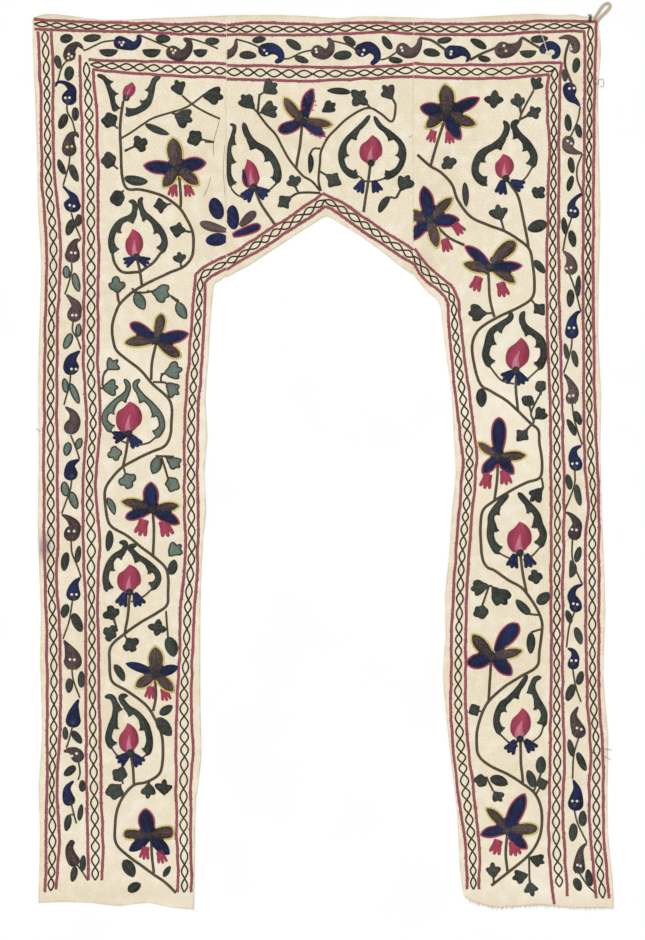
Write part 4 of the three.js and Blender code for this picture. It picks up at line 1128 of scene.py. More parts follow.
for knots in leafStems:
    sewLine("olive", knots, *stemLook["leaf"])
for form, middle, stem, across in lobedLeaves:
    sewLobedLeaf("green", form, middle, stem, across)
for form, middle, stem, across in tealLobed:
    sewLobedLeaf("teal", form, middle, stem, across, edge="olive")
for x0, y0, x1, y1, wide in fieldBlades:
    tone = chance.uniform(*leafLook["tones"])
    bend = chance.uniform(*leafLook["fieldBend"])
    sewLeaf("green", (x0, y0), (x1, y1), wide, leafLook["lift"], tone, bend=bend, power=0.55)
for x0, y0, x1, y1, wide in tealBlades:
    bend = chance.uniform(*leafLook["fieldBend"])
    sewLeaf("teal", (x0, y0), (x1, y1), wide, leafLook["lift"], edge="olive", bend=bend, power=0.62)
print("stems and leaves sewn")

# flowers: heart, petals as thread, tip, width and form, drops below, stem
# petals: width at the heart, share of the length where it is widest, powers that open it and close its tip
petalForms = {
    "leaf": (0.46, 0.54, 0.8, 2.0, 0.72), "round": (0.4, 0.6, 0.9, 2.4, 0.6),
    "blunt": (0.4, 0.66, 0.6, 3.4, 0.55), "oval": (0.0, 0.5, 0.5, 2.0, 0.5),
    "pear": (0.1, 0.6, 0.8, 2.4, 0.6),
}
edgeOf = {"navy": "crimson", "brown": "yellow"}
flowers = [
    {"heart": (177.5, 168), "petals": [("navy", 143, 165.5, 14.4, "leaf"),
      ("navy", 206.6, 163, 14.8, "leaf"), ("brown", 172.5, 136.6, 17.6, "leaf"),
      ("brown", 162.4, 188, 14, "leaf"), ("brown", 199.8, 185.4, 14, "leaf")], "drops": [(173, 191),
      (188.6, 191)], "stem": [(179, 172), (181, 204), (179.5, 208.5)], "tone": 0.4, "dropSize": 0.84},
    {"heart": (156, 340.5), "petals": [("brown", 123.4, 343.4, 13.4, "leaf"),
      ("brown", 181.4, 357, 13.4, "round"), ("brown", 161.8, 312.6, 13, "round"),
      ("navy", 129.6, 323.4, 12.6, "round"), ("navy", 189, 333.4, 13.6, "leaf")], "drops": [],
      "stem": [(156, 344), (152, 362), (151, 380)], "tone": 0.36},
    {"heart": (152.5, 509.5), "petals": [("brown", 120, 501.4, 12.4, "leaf"),
      ("brown", 180.4, 505.4, 12, "leaf"), ("navy", 125, 518, 11.4, "round"), ("navy", 180, 524, 13, "leaf"),
      ("navy", 151, 481.6, 16.4, "leaf")], "drops": [(141.8, 528), (165.8, 529)], "stem": [(153, 513),
      (154, 535), (153, 556)], "tone": 0.34, "dropSize": 1.1},
    {"heart": (155.5, 674.5), "petals": [("navy", 125.4, 663.4, 9, "leaf", None),
      ("navy", 178.4, 666.8, 10.4, "leaf", None), ("brown", 134.6, 687.6, 13.4, "leaf"),
      ("brown", 174.2, 692.4, 13.4, "leaf"), ("brown", 155, 645.4, 17, "leaf")], "drops": [(150, 693),
      (165.4, 695)], "stem": [(155, 678), (156, 695), (153, 711)], "tone": 0.46, "dropSize": 0.85},
    {"heart": (150, 835.5), "petals": [("navy", 129, 851, 11, "leaf", None),
      ("navy", 169.4, 854.6, 12.4, "leaf", None), ("brown", 122.4, 834, 12, "blunt"),
      ("brown", 174.8, 832, 15, "blunt"), ("navy", 145.6, 808, 17, "leaf")], "drops": [(144.6, 853.6),
      (161.4, 857.6)], "stem": [(151, 839), (152, 856), (154, 873)], "tone": 0.26, "dropSize": 0.85},
    {"heart": (303, 121.5), "petals": [("navy", 325.4, 136, 10.4, "leaf"),
      ("navy", 277.6, 130.4, 13, "round"), ("brown", 333.4, 124.8, 11, "leaf"),
      ("navy", 312.8, 88.4, 12.8, "leaf"), ("brown", 283.8, 96.4, 13, "leaf")], "bases": {0: (304, 123.6),
      2: (305, 119.6), 3: (305, 117.4)}, "drops": [], "stem": [(302, 125), (300, 146), (296, 168)],
      "tone": 0.46, "gold": -0.3},
    {"heart": (446.5, 113), "petals": [("navy", 480, 97.6, 13, "leaf"), ("navy", 419.6, 107.2, 15, "leaf"),
      ("brown", 425, 128.6, 13.4, "leaf"), ("brown", 477.4, 124.6, 14, "leaf"),
      ("brown", 444, 83.4, 18, "leaf"), ("navy", 461, 140, 14, "leaf")], "drops": [(431.8, 136.6),
      (449.4, 138.4)], "stem": [(445, 118), (435, 150), (430.5, 166)], "tone": 0.3, "dropSize": 0.8},
    {"heart": (430, 220), "cut": (413.6, 640), "petals": [("brown", 404, 212, 14, "leaf"),
      ("navy", 408, 241, 13, "leaf"), ("navy", 459.8, 219.8, 14, "leaf"),
      ("brown", 437.4, 248.8, 13.4, "leaf"), ("brown", 453.4, 197, 12.6, "leaf"),
      ("navy", 423.4, 185.6, 15, "leaf")], "drops": [(457.8, 228), (446.4, 245.6)], "stem": [(434, 223),
      (448, 237), (464.5, 245)], "tone": 0.44, "dropSize": 0.9},
    {"heart": (489.5, 267), "petals": [("navy", 464.4, 245.8, 11.6, "leaf"),
      ("brown", 516, 284, 12.6, "leaf"), ("brown", 462, 263.4, 12.6, "leaf"),
      ("brown", 516.4, 241, 16, "round"), ("navy", 522.6, 265.6, 11.6, "leaf")], "bases": {2: (490, 271.6),
      3: (491.5, 262.6)}, "drops": [(476.4, 284), (502.5, 290)], "stem": [(488, 271), (490, 299),
      (494.5, 317)], "tone": 0.36},
    {"heart": (498, 456.5), "petals": [("brown", 476.8, 441.2, 10.6, "leaf"),
      ("brown", 527.4, 455.2, 12, "leaf"), ("navy", 482, 474, 12.4, "leaf"),
      ("navy", 514, 474.4, 12.4, "leaf"), ("navy", 499, 416.8, 15.6, "round")], "drops": [(486.2, 481.6),
      (505.4, 478)], "stem": [(498, 460), (497, 480), (494.5, 501)], "tone": 0.42},
    {"heart": (492, 657), "petals": [("navy", 518.6, 623.4, 17.4, "pear"),
      ("navy", 465.8, 662.8, 16, "leaf"), ("navy", 512, 675.4, 14.6, "leaf"),
      ("brown", 471.6, 633.4, 15.4, "leaf"), ("brown", 523.6, 650, 12.2, "leaf")],
      "bases": {0: (494.6, 651.4)}, "drops": [], "stem": [(491, 661), (490, 680), (488.5, 701)],
      "tone": 0.24},
    {"heart": (507, 830.5), "petals": [("navy", 480, 835.2, 12.4, "leaf"), ("brown", 485, 807.4, 12, "leaf"),
      ("brown", 539, 828.4, 14.2, "round"), ("navy", 525, 793.2, 16.4, "leaf"),
      ("navy", 527.6, 849, 12.4, "leaf")], "drops": [(496.2, 847.4), (514.4, 849)], "stem": [(507, 834),
      (506, 852), (507.5, 873)], "tone": 0.28},
]
# petals of the flower that the left seam cuts: thread, base, tip, width, form, edge, side of the seam, tone
seamPetals = [
    ("navy", (213.5, 197.5), (221, 219), 14.4, "oval", None, (0, 226), 0.45),
    ("brown", (227, 230.6), (199.6, 222.6), 9.6, "round", None, (0, 226), 0.95),
    ("navy", (205.5, 241), (227.5, 238.6), 13, "oval", None, (0, 226), 0.45),
    ("navy", (232.5, 205), (234.5, 229.5), 13, "oval", None, (227, 640), 0.45),
    ("brown", (240, 226), (256, 211.5), 9.6, "round", None, (227, 640), 0.6),
    ("navy", (232.5, 235.5), (261, 225.4), 9.8, "blunt", "crimson", (227, 640), 0.45),
]
# drop and sepal: length, width, width of the foot, spread of the fingers, share of the palm
flowerLook = {"stations": 26, "heart": (4.0, 1.4, 0.3), "eye": (1.6, 1.9, 0.2), "edge": 3.9, "slant": 0.6,
              "bend": (-0.05, 0.05), "tone": 0.42, "tones": (-0.1, 0.1), "lift": 0.3, "layer": 0.1,
              "bareRoot": 2, "bareTip": 6, "dropAway": 0.55, "dropFall": (0, 0.45), "dropRoot": 0.52,
              "drop": (15.6, 12.0, 9.0, 0.2, 0.64), "sepal": (14.8, 12.2, 5.0, 0.33, 0.74), "sepalGap": 2.0}
pawLook = {"stations": 10, "lap": 0.18, "shares": (0, 0.55, 1), "waist": 0.4, "knuckles": 0.42,
           "fingers": ((-1, 0.9), (0, 1.0), (1, 0.94)), "gap": 0.29, "half": 0.15, "end": 0.35, "layer": 0.05,
           "tones": (0.35, 0.6)}


def petalShape(base, tip, wide, form):
    # a petal from heart to tip: it widens as a quarter sine and closes as one less a power of the share
    t = np.linspace(0, 1, flowerLook["stations"])
    root, peak, swell, close, soft = petalForms[form]
    path = bowedPath(base, tip, chance.uniform(*flowerLook["bend"]) * np.sin(np.pi * t))
    opening = root + (1 - root) * np.sin(np.pi / 2 * np.clip(t / peak, 0, 1)) ** swell
    closing = (1 - np.clip((t - peak) / (1 - peak), 0, 1) ** close) ** soft
    half = wide / 2 * photo["pixel"] * opening * closing
    side = sideways(path) * half[:, None]
    return path, half, np.vstack([path + side, (path - side)[::-1]])


def sewPetal(thread, shape, edge, cut=None, lift=0.3, tone=0.45, others=(), edgeTone=None):
    # the petal's edge row starts on each side where the other petals no longer cover it
    path, half, outline = shape
    n = len(path)
    covered = np.zeros(2 * n, bool)
    for other in others:
        covered |= edgeGap(outline, other) > 0
    bare = None
    if len(others):
        near = n - flowerLook["bareTip"]
        bare = [int(np.max(np.nonzero(mask[:near])[0], initial=flowerLook["bareRoot"])) + 1
                for mask in (covered[:n], covered[n:][::-1])]
    d = path[-1] - path[0]
    slant = np.arctan2(d[1], d[0]) + flowerLook["slant"] if thread == "navy" else None
    sewBlade(thread, path, half, half, lift, tone, edge=edge, slant=slant, cut=cutSides(cut),
             edgeWidth=flowerLook["edge"], bare=bare, edgeTone=edgeTone)


def sewPaw(thread, root, toward, look, size=1.0, lift=0.25):
    # a palm that widens from its root, then three short blunt fingers side by side that part from it
    a, b = onCloth(root), onCloth(toward)
    d = (b - a) / np.hypot(*(b - a))
    beside = np.array([-d[1], d[0]])
    long, wide, foot = np.array(look[:3]) * size * photo["pixel"]
    spread, palm = look[3:]
    parting = palm - pawLook["lap"]
    t = np.linspace(0, 1, pawLook["stations"])
    halves = (foot / 2, wide * pawLook["waist"], wide * pawLook["knuckles"])
    half = np.interp(t, pawLook["shares"], halves)
    tone = chance.uniform(*pawLook["tones"])
    sewBlade(thread, a + d * (long * palm * t)[:, None], half, half, lift, tone)
    for place, share in pawLook["fingers"]:
        start = a + beside * (place * wide * pawLook["gap"]) + d * long * parting
        way = d + beside * place * spread
        end = np.clip((1 - t) / pawLook["end"], 0, 1)
        half = wide * pawLook["half"] * np.sqrt(end * (2 - end))
        finger = start + way * (long * (share - parting) * t)[:, None]
        sewBlade(thread, finger, half, half, lift + pawLook["layer"], tone)


for bloom in flowers:
    heart = np.array(bloom["heart"])
    sewLine("olive", bloom["stem"], *stemLook["flower"])
    for at in bloom["drops"]:
        away = (np.array(at) - heart) / np.hypot(*(np.array(at) - heart))
        hang = away * flowerLook["dropAway"] + np.array(flowerLook["dropFall"])
        size = bloom.get("dropSize", 1.0)
        root = np.array(at) - hang * flowerLook["drop"][0] * size * flowerLook["dropRoot"]
        sewPaw("crimson", root, np.array(at), flowerLook["drop"], size)
    bases = bloom.get("bases", {})
    shapes = [petalShape(bases.get(k, bloom["heart"]), petal[1:3], petal[3], petal[4])
              for k, petal in enumerate(bloom["petals"])]
    for k, petal in enumerate(bloom["petals"]):
        edge = petal[5] if len(petal) > 5 else edgeOf[petal[0]]
        others = [shape[2] for n, shape in enumerate(shapes) if n != k]
        tone = bloom.get("tone", flowerLook["tone"]) + chance.uniform(*flowerLook["tones"])
        deep = bloom.get("gold") if edge == "yellow" else None
        lift = flowerLook["lift"] + flowerLook["layer"] * k
        sewPetal(petal[0], shapes[k], edge, bloom.get("cut"), lift, tone, others, deep)
    sewDisc("green", bloom["heart"], *flowerLook["heart"])
    sewDisc("brown", bloom["heart"], *flowerLook["eye"])
for thread, base, tip, wide, form, edge, cut, tone in seamPetals:
    sewPetal(thread, petalShape(base, tip, wide, form), edge, cut, tone=tone)
print("flowers sewn:", len(flowers))

# buds: tip, width, height of the widest place, base; ring leaves from hooked head to foot, stalks
buds = [
    {"tip": (132.3, 229), "wide": 18, "widest": 244, "base": (136.5, 257), "flame": 6, "sepals": [(129, 261),
      (145.6, 261.6)], "sepalSize": 0.84, "slim": 0.86, "stalkWidth": 3.0,
      "leaves": [{"blade": [(128.5, 201.6), (133.4, 202), (135, 209), (131.6, 216.4), (121, 222), (114, 231),
      (111.4, 243), (113.5, 255)], "stalk": [(112.5, 254), (115, 264), (123, 272), (140.6, 271.8)]},
      {"blade": [(142.5, 197), (140, 202), (143, 212), (151, 220), (160.5, 231), (164.5, 243),
      (161.5, 253.5)], "stalk": [(161.5, 252), (152.5, 263), (140.5, 271.5)]}], "stem": [(137.5, 260),
      (140, 272), (142, 286.6)]},
    {"tip": (129.5, 401.5), "wide": 26, "widest": 417, "base": (128.7, 433.5), "flame": 6,
      "sepals": [(118.6, 436.4), (134.4, 441.4)], "thread": "teal", "slim": 0.88,
      "leaves": [{"blade": [(124, 379), (128, 385), (126.5, 393), (116, 402), (107, 412), (105, 420),
      (109, 429), (112, 432)], "stalk": [(111, 431), (120, 440), (127, 443)]}, {"blade": [(140, 379),
      (135, 385), (141, 395), (151, 405), (159.5, 416), (161.5, 427.5), (155.5, 438.5)],
      "stalk": [(156, 437), (148, 443), (130, 446)]}], "stem": [(128, 437), (126, 452), (123, 466.5)]},
    {"tip": (129.5, 564.5), "wide": 24, "widest": 579.5, "base": (129.5, 592), "flame": 6,
      "sepals": [(122.4, 600), (138, 600.4)], "roots": [(125.2, 592.6), (134.6, 593)], "slim": 0.88,
      "leaves": [{"blade": [(119, 542.5), (125, 543), (124, 550), (114.5, 557), (109, 565.5), (106, 577),
      (107, 592)], "stalk": []}, {"blade": [(137, 545), (130, 547.5), (137, 556), (148, 564), (157, 574),
      (157, 582.5), (151, 590)], "stalk": [(151.5, 589), (143.5, 596.5), (131, 602)]}],
      "stem": [(129.5, 595), (128, 614), (125, 633)]},
    {"tip": (127.5, 723), "wide": 20, "widest": 740.5, "base": (130.7, 752.5), "flame": 6,
      "sepals": [(122.8, 758.8), (138.8, 761.8)], "slim": 0.92, "leaves": [{"blade": [(104.5, 697),
      (111.5, 697), (115.5, 705), (115, 717), (111, 728), (108.7, 739), (112, 749)], "stalk": [(111.5, 748),
      (118, 756), (128, 760)]}, {"blade": [(128, 695.5), (121, 697), (126.5, 706.5), (137.5, 714.5),
      (145.7, 725.7), (149, 738), (149, 749), (145.7, 756)], "stalk": [(146, 755), (141, 758.5),
      (134, 760)]}], "stem": [(131, 756), (133, 770), (134, 785)]},
    {"tip": (247, 159), "wide": 18, "widest": 179, "base": (254, 187), "flame": 6, "sepals": [(246.8, 196),
      (264.4, 194)], "leaves": [{"blade": [(229.6, 124), (234.4, 126.4), (233, 135), (230, 146),
      (229.4, 165), (229.6, 178), (231.4, 188)], "stalk": [(231, 188), (236, 194), (243, 197.6)],
      "slim": 0.66}, {"blade": [(243.4, 122.4), (247, 134), (254, 143.6), (267, 152), (275, 164), (278, 176),
      (275.6, 184)], "stalk": [(276, 184), (268, 190.6), (258, 192)]}], "stem": [(255, 190), (262, 206),
      (275, 225)]},
    {"tip": (372, 135), "wide": 23, "widest": 151, "base": (371, 163), "flame": 6, "sepals": [(359.4, 188.4),
      (377, 189.4)], "roots": [(362.9, 180.5), (373.5, 180.5)], "sepalSize": 0.9, "slim": 0.84,
      "leaves": [{"blade": [(370, 115), (364.5, 122.5), (355, 132), (345.5, 142.5), (341.6, 154),
      (343.6, 166), (351, 174.6), (360, 176.4)], "stalk": [(360, 177), (364, 181), (368.5, 181.5)]},
      {"blade": [(374, 116), (380, 126), (390.5, 134), (400, 143.5), (403, 153), (400.5, 164.5), (393, 174),
      (383, 178.6)], "stalk": [(384, 178.6), (376, 181), (368.5, 181.5)]}], "stem": [(370.5, 166),
      (368, 182), (363.5, 212)]},
    {"tip": (503, 154), "wide": 19, "widest": 166, "base": (506, 178.5), "flame": 6,
      "sepals": [(501.6, 187.4), (519.4, 185.6)], "roots": [(502.8, 180.4), (510.6, 181.2)],
      "leaves": [{"blade": [(503.5, 120.5), (507, 127), (503, 138), (494.5, 146), (481, 154.5), (475.5, 168),
      (478.4, 178.4), (487.6, 185.4)], "stalk": []}, {"blade": [(519.5, 120.5), (513.5, 124.5),
      (518.5, 134.5), (527.5, 144.5), (533.5, 156), (532.5, 168)], "stalk": [(532.5, 167), (523.5, 180),
      (512, 184)]}], "stem": [(508, 181), (517.5, 195), (522, 212.5), (527, 236), (528.5, 248)]},
    {"tip": (521, 337.5), "wide": 23, "widest": 356, "base": (515.9, 370), "flame": 8,
      "sepals": [(507.4, 376.6), (522.8, 382)], "leaves": [{"blade": [(511, 311.5), (510, 318.5),
      (500, 325.5), (491.5, 332.5), (488, 345), (486, 356), (490, 367.5)], "stalk": [(489.5, 366),
      (501, 380), (514, 384)]}, {"blade": [(524.5, 311), (522, 317), (524, 325.6), (532.6, 333),
      (540, 339.5), (543.5, 350.5), (542, 362), (538, 370)], "stalk": [(538.5, 369), (528, 379),
      (518, 384)]}], "stem": [(516, 377), (516, 392), (518, 411)]},
    {"tip": (519.5, 521.5), "wide": 24.5, "widest": 538, "base": (520, 553), "flame": 8,
      "sepals": [(513, 562), (528.8, 561)], "roots": [(515, 554), (526, 554)],
      "leaves": [{"blade": [(508.5, 494), (500, 503), (492, 515), (491.5, 524), (491, 536.5), (495, 548),
      (499.5, 554)], "stalk": [(499, 553), (509, 558), (518, 560)]}, {"blade": [(518, 492.5), (527, 503),
      (536, 514), (539, 524), (543, 535), (540, 548)], "stalk": [(540.5, 547), (532, 556), (523, 560)]}],
      "stem": [(520.5, 556), (523, 574), (526.5, 592.5)]},
    {"tip": (522.3, 708), "wide": 20, "widest": 725, "base": (520, 739), "flame": 10,
      "sepals": [(509.6, 750), (531, 747)], "roots": [(515.4, 740.4), (525, 739.8)], "slim": 0.9,
      "leaves": [{"blade": [(527.5, 675), (520, 687), (508.5, 700), (502, 705), (497.5, 715.5), (497, 726),
      (500.5, 735)], "stalk": [(500, 734), (509.5, 743), (518, 746)]}, {"blade": [(541.5, 677), (535, 679.5),
      (532.5, 688), (537.5, 701), (543, 711), (544, 718), (543.5, 727)], "stalk": [(543.5, 726),
      (539.5, 736), (526, 746)]}], "stem": [(520.5, 742), (521, 762), (523, 783)]},
]
ringLook = {"stations": 64, "shares": (0, 0.12, 0.3, 0.55, 0.8, 1), "halves": (2.6, 3.2, 3.5, 4.2, 4.2, 3.3),
            "teeth": (0.34, 0.62, 0.94), "toothDepth": 5.4, "toothPlaces": (-0.15, -0.04, 0.0, 0.025),
            "toothHeights": (0, 0.5, 1, 0), "head": 0.07, "foot": 0.05, "least": 0.02, "inset": 0.8,
            "insetFrom": 0.2, "lift": 0.2, "tones": (0.35, 0.6)}
budLook = {"peaks": (0.4, 0.72), "swell": 0.9, "close": 2.2, "soft": 0.6, "bow": 0.04, "body": (0.3, 0.5),
           "core": 10, "flame": (0.7, 0.5), "flameShares": (0, 0.35, 0.75, 1),
           "flameHalves": (0.04, 0.5, 1, 0.7), "calyx": (3.7, 1.7, 0.25),
           "stalk": (1, 0.15, 0.4), "stalkWidth": 2.0}


def sewRingLeaf(thread, knots, heart, edge=None, slim=1.0):
    # a leaf that rings a bud: half widths read along its path, a saw of teeth towards the bud, a round head
    n = ringLook["stations"]
    t = np.linspace(0, 1, n)
    path = pick(smoothPath(onCloth(knots), 1.5), t)
    half = np.interp(t, ringLook["shares"], ringLook["halves"]) * slim
    head = np.clip(t / ringLook["head"], ringLook["least"], 1)
    half *= np.sqrt(head * (2 - head))
    half *= np.sqrt(np.clip((1 - t) / ringLook["foot"], ringLook["least"], 1))
    tooth = np.zeros(n)
    for tip in ringLook["teeth"]:
        places = tip + np.array(ringLook["toothPlaces"])
        tooth += ringLook["toothDepth"] * np.interp(t, places, ringLook["toothHeights"])
    inner = (half - ringLook["inset"] * (t > ringLook["insetFrom"]) + tooth) * photo["pixel"]
    outer = half * photo["pixel"]
    toBud = onCloth(heart) - path[n // 2]
    isLeft = (sideways(path)[n // 2] @ toBud) > 0
    left, right = (inner, outer) if isLeft else (outer, inner)
    sewBlade(thread, path, left, right, ringLook["lift"], chance.uniform(*ringLook["tones"]), edge)


def sewBud(bud):
    # a drop with a point: it widens as a quarter sine to its widest place and closes round its base
    t = np.linspace(0, 1, flowerLook["stations"])
    share = (bud["widest"] - bud["tip"][1]) / (bud["base"][1] - bud["tip"][1])
    share = np.clip(share, *budLook["peaks"])
    opening = np.sin(np.pi / 2 * np.clip(t / share, 0, 1)) ** budLook["swell"]
    closing = (1 - np.clip((t - share) / (1 - share), 0, 1) ** budLook["close"]) ** budLook["soft"]
    path = bowedPath(bud["tip"], bud["base"], budLook["bow"] * np.sin(2 * np.pi * t))
    half = bud["wide"] / 2 * photo["pixel"] * opening * closing
    sewBlade("crimson", path, half, half, *budLook["body"])
    core = path[budLook["core"]:]
    flame = np.interp(np.linspace(0, 1, len(core)), budLook["flameShares"], budLook["flameHalves"])
    flame = bud["flame"] / 2 * photo["pixel"] * flame
    sewBlade("pink", core, flame, flame, *budLook["flame"])


for bud in buds:
    heart = (np.array(bud["tip"]) + np.array(bud["base"])) / 2
    thread = bud.get("thread", "green")
    edge = "olive" if thread == "teal" else None
    sewLine("olive", bud["stem"], *stemLook["flower"])
    for leaf in bud["leaves"]:
        if leaf["stalk"]:
            sewLine("olive", leaf["stalk"], bud.get("stalkWidth", budLook["stalkWidth"]), *budLook["stalk"])
        sewRingLeaf(thread, leaf["blade"], heart, edge, leaf.get("slim", bud.get("slim", 1.0)))
    low = np.array(bud["base"])
    ways = [(np.array(at) - low) / np.hypot(*(np.array(at) - low)) for at in bud["sepals"]]
    roots = bud.get("roots", [low + way * flowerLook["sepalGap"] for way in ways])
    for root, at in zip(roots, bud["sepals"]):
        sewPaw("navy", root, at, flowerLook["sepal"], bud.get("sepalSize", 1.0))
    sewBud(bud)
    sewDisc("green", bud["base"], *budLook["calyx"])

# the small rosebud at the top of the left leg, between two loose toothed leaves
sewLine("olive", [(126, 98), (123, 101.5)], 2.2, 1)
sewBud({"tip": (132, 82), "wide": 11.5, "widest": 90, "base": (126.5, 99), "flame": 3})
sewDisc("green", (126.2, 97.6), 3.6, 0.9)
sewRingLeaf("green", [(97, 75), (104, 78), (109, 87), (112.5, 98), (115, 112)], (135, 92), slim=0.74)
sewRingLeaf("green", [(160.5, 76), (154, 81), (151, 93), (147, 103.5), (138, 110), (125, 115)],
            (125, 92), slim=0.9)
sewLeaf("navy", (242.8, 169), (247, 187), 3.6, 0.8)  # a streak down one side of the left crown bud
print("buds sewn:", len(buds) + 1)

# worn crimson stitches that stand off two petals of the crown flower, two at each place
wornPlaces = [(301.8, 102.7), (304, 107.4), (303, 110), (307, 97), (308.4, 93.6), (313.8, 90), (311, 89),
              (315.4, 105.4), (315.6, 101.6), (313.4, 110), (324.4, 133), (325, 136.4), (315, 135.6),
              (311, 134), (320, 138)]
worn = {"spread": 1.1, "length": 5.0, "width": 2.8, "lift": 1.0, "tone": 0.45}
places = np.repeat(onCloth(wornPlaces), 2, 0)
places = places + chance.normal(0, worn["spread"], places.shape)
addStitches("crimson", places, chance.uniform(0, np.pi, len(places)), worn["length"], worn["width"],
            worn["lift"], worn["tone"])

# sewing of the two seams, and a few loose ends
seams = [{"x": 226.1, "from": 16, "to": 277}, {"x": 413.3, "from": 18, "to": 273}]
# their stitches: way, length, width, lift, tone, height
seamLook = {"pitch": 7, "end": 4, "stray": 0.3, "stitch": (0.35, 4.2, 1.3, 0.05, 0.35, 0.5)}
for seam in seams:
    a, b = onCloth((seam["x"], seam["from"])), onCloth((seam["x"], seam["to"]))
    count = int(abs(a[1] - b[1]) / seamLook["pitch"])
    down = np.linspace(a[1] - seamLook["end"], b[1] + seamLook["end"], count)
    at = np.stack([np.full(count, a[0]), down], -1)
    at[:, 0] += chance.normal(0, seamLook["stray"], count)
    addStitches("white", at, *seamLook["stitch"])


def sewStrand(thread, knots, radius, lift, tone=0.5):
    # a thin tube along a smooth path: a ring of six points carried along it, narrowed to close at its ends
    path = smoothPath(onCloth(knots), 2.0)
    side = sideways(path)
    angle = np.linspace(0, 2 * np.pi, 6, endpoint=False)
    station = np.arange(len(path))
    thin = radius * np.sqrt(np.clip(np.minimum(station, station[::-1]) / 2 + 0.04, 0, 1))
    flat = path[:, None] + side[:, None] * (np.cos(angle)[None, :, None] * thin[:, None, None])
    high = clothHeight(path[:, 0], path[:, 1])[:, None] + lift + radius + np.sin(angle) * thin[:, None]
    points = np.concatenate([flat, high[..., None]], -1).reshape(-1, 3)
    work[thread]["patches"].append((points, tubeFaces(len(path), len(angle)), tone))


looseEnds = [
    ("olive", [(219.6, 120), (216.5, 131), (213.6, 142.6), (213.4, 156)], 0.4, 0.1),
    ("olive", [(211, 176.6), (208, 187), (203.8, 196.6)], 0.4, 0.1),
    ("olive", [(224.6, 145), (223.4, 170), (225, 196)], 0.3, 0.1),
    ("crimson", [(408.6, 137.4), (411, 136), (413, 135.6)], 0.5, 0.1),
    ("white", [(541, 24), (541, 32.5), (544, 41), (546.5, 49.5), (550, 55)], 0.75, 1.4),
    ("olive", [(600, 748), (606, 749), (612, 750)], 0.5, 0.8),
    ("olive", [(600, 754), (606, 757), (611, 760)], 0.5, 0.8),
    ("olive", [(36, 428), (38, 430), (41, 431)], 0.5, 0.8),
    ("olive", [(593, 83.6), (598, 84), (598.6, 80), (603, 79.6), (603, 86), (599.6, 86.6)], 0.5, 0.8),
    ("green", [(588, 14), (589.6, 17), (588.6, 22)], 1.4, 0.7),
    ("green", [(590.6, 14), (591, 18), (590, 23)], 1.4, 0.7),
]
for thread, knots, radius, lift in looseEnds:
    sewStrand(thread, knots, radius, lift)

# frayed weave along the foot of the right panel
fray = {"count": 90, "ends": (6, 4), "root": 5, "lean": 2.2, "drop": (2.0, 8.0), "bend": (0.4, 0.3),
        "radius": 0.5, "lift": -0.5, "tones": (0.0, 0.7)}
foot = panelSides(panels[2])[1]
for x in np.linspace(foot[0, 0] + fray["ends"][0], foot[-1, 0] - fray["ends"][1], fray["count"]):
    y = np.interp(x, foot[:, 0], foot[:, 1])
    lean = chance.normal(0, fray["lean"])
    drop = chance.uniform(*fray["drop"])
    bend = (x + lean * fray["bend"][0], y - drop * fray["bend"][1])
    ends = np.array([(x, y + fray["root"]), bend, (x + lean, y - drop)])
    knots = ends / photo["pixel"] * (1, -1) + (photo["originX"], photo["originY"])
    sewStrand("flax", knots, fray["radius"], fray["lift"], chance.uniform(*fray["tones"]))

# chain stitch: two plump strands that part from one point and meet at the next, eight points, twelve faces
chainPoints = np.array([(0, 0, 0.2), (1.08, 0, 0.5), (0.55, 0.5, 0), (0.5, 0.32, 1), (0.52, 0.1, 0.45),
                        (0.55, -0.5, 0), (0.5, -0.32, 1), (0.52, -0.1, 0.45)])
chainFaces = np.array([(0, 3, 2), (3, 1, 2), (0, 4, 3), (4, 1, 3), (0, 5, 6), (6, 5, 1), (0, 6, 7),
                       (7, 6, 1), (0, 7, 4), (7, 1, 4), (0, 2, 1), (0, 1, 5)])
chainLook = {"middle": 0.54, "mapShift": 0.37, "patchMap": 0.3, "bakeRim": 0.01, "bakeSpan": 0.98}
seamPlace = [float(onCloth((seam["x"], 0))[0]) for seam in seams]


def stitchArrays(table):
    # the stitch shape scaled, turned and set down for every row of the table at once
    along = (chainPoints[:, 0] - chainLook["middle"]) * table[:, 3:4]
    across = chainPoints[:, 1] * table[:, 4:5]
    c, s = np.cos(table[:, 2:3]), np.sin(table[:, 2:3])
    x = table[:, 0:1] + along * c - across * s
    y = table[:, 1:2] + along * s + across * c
    z = clothHeight(table[:, 0], table[:, 1])[:, None] + table[:, 6:7] + chainPoints[:, 2] * table[:, 5:6]
    points = np.stack([x, y, z], -1).reshape(-1, 3)
    n = len(chainPoints)
    faces = (np.arange(len(table))[:, None, None] * n + chainFaces).reshape(-1, 3)
    strand = chainPoints[:, :2] + table[:, None, 0:2] * chainLook["mapShift"]
    return points, faces, np.repeat(table[:, 7], n), strand.reshape(-1, 2)


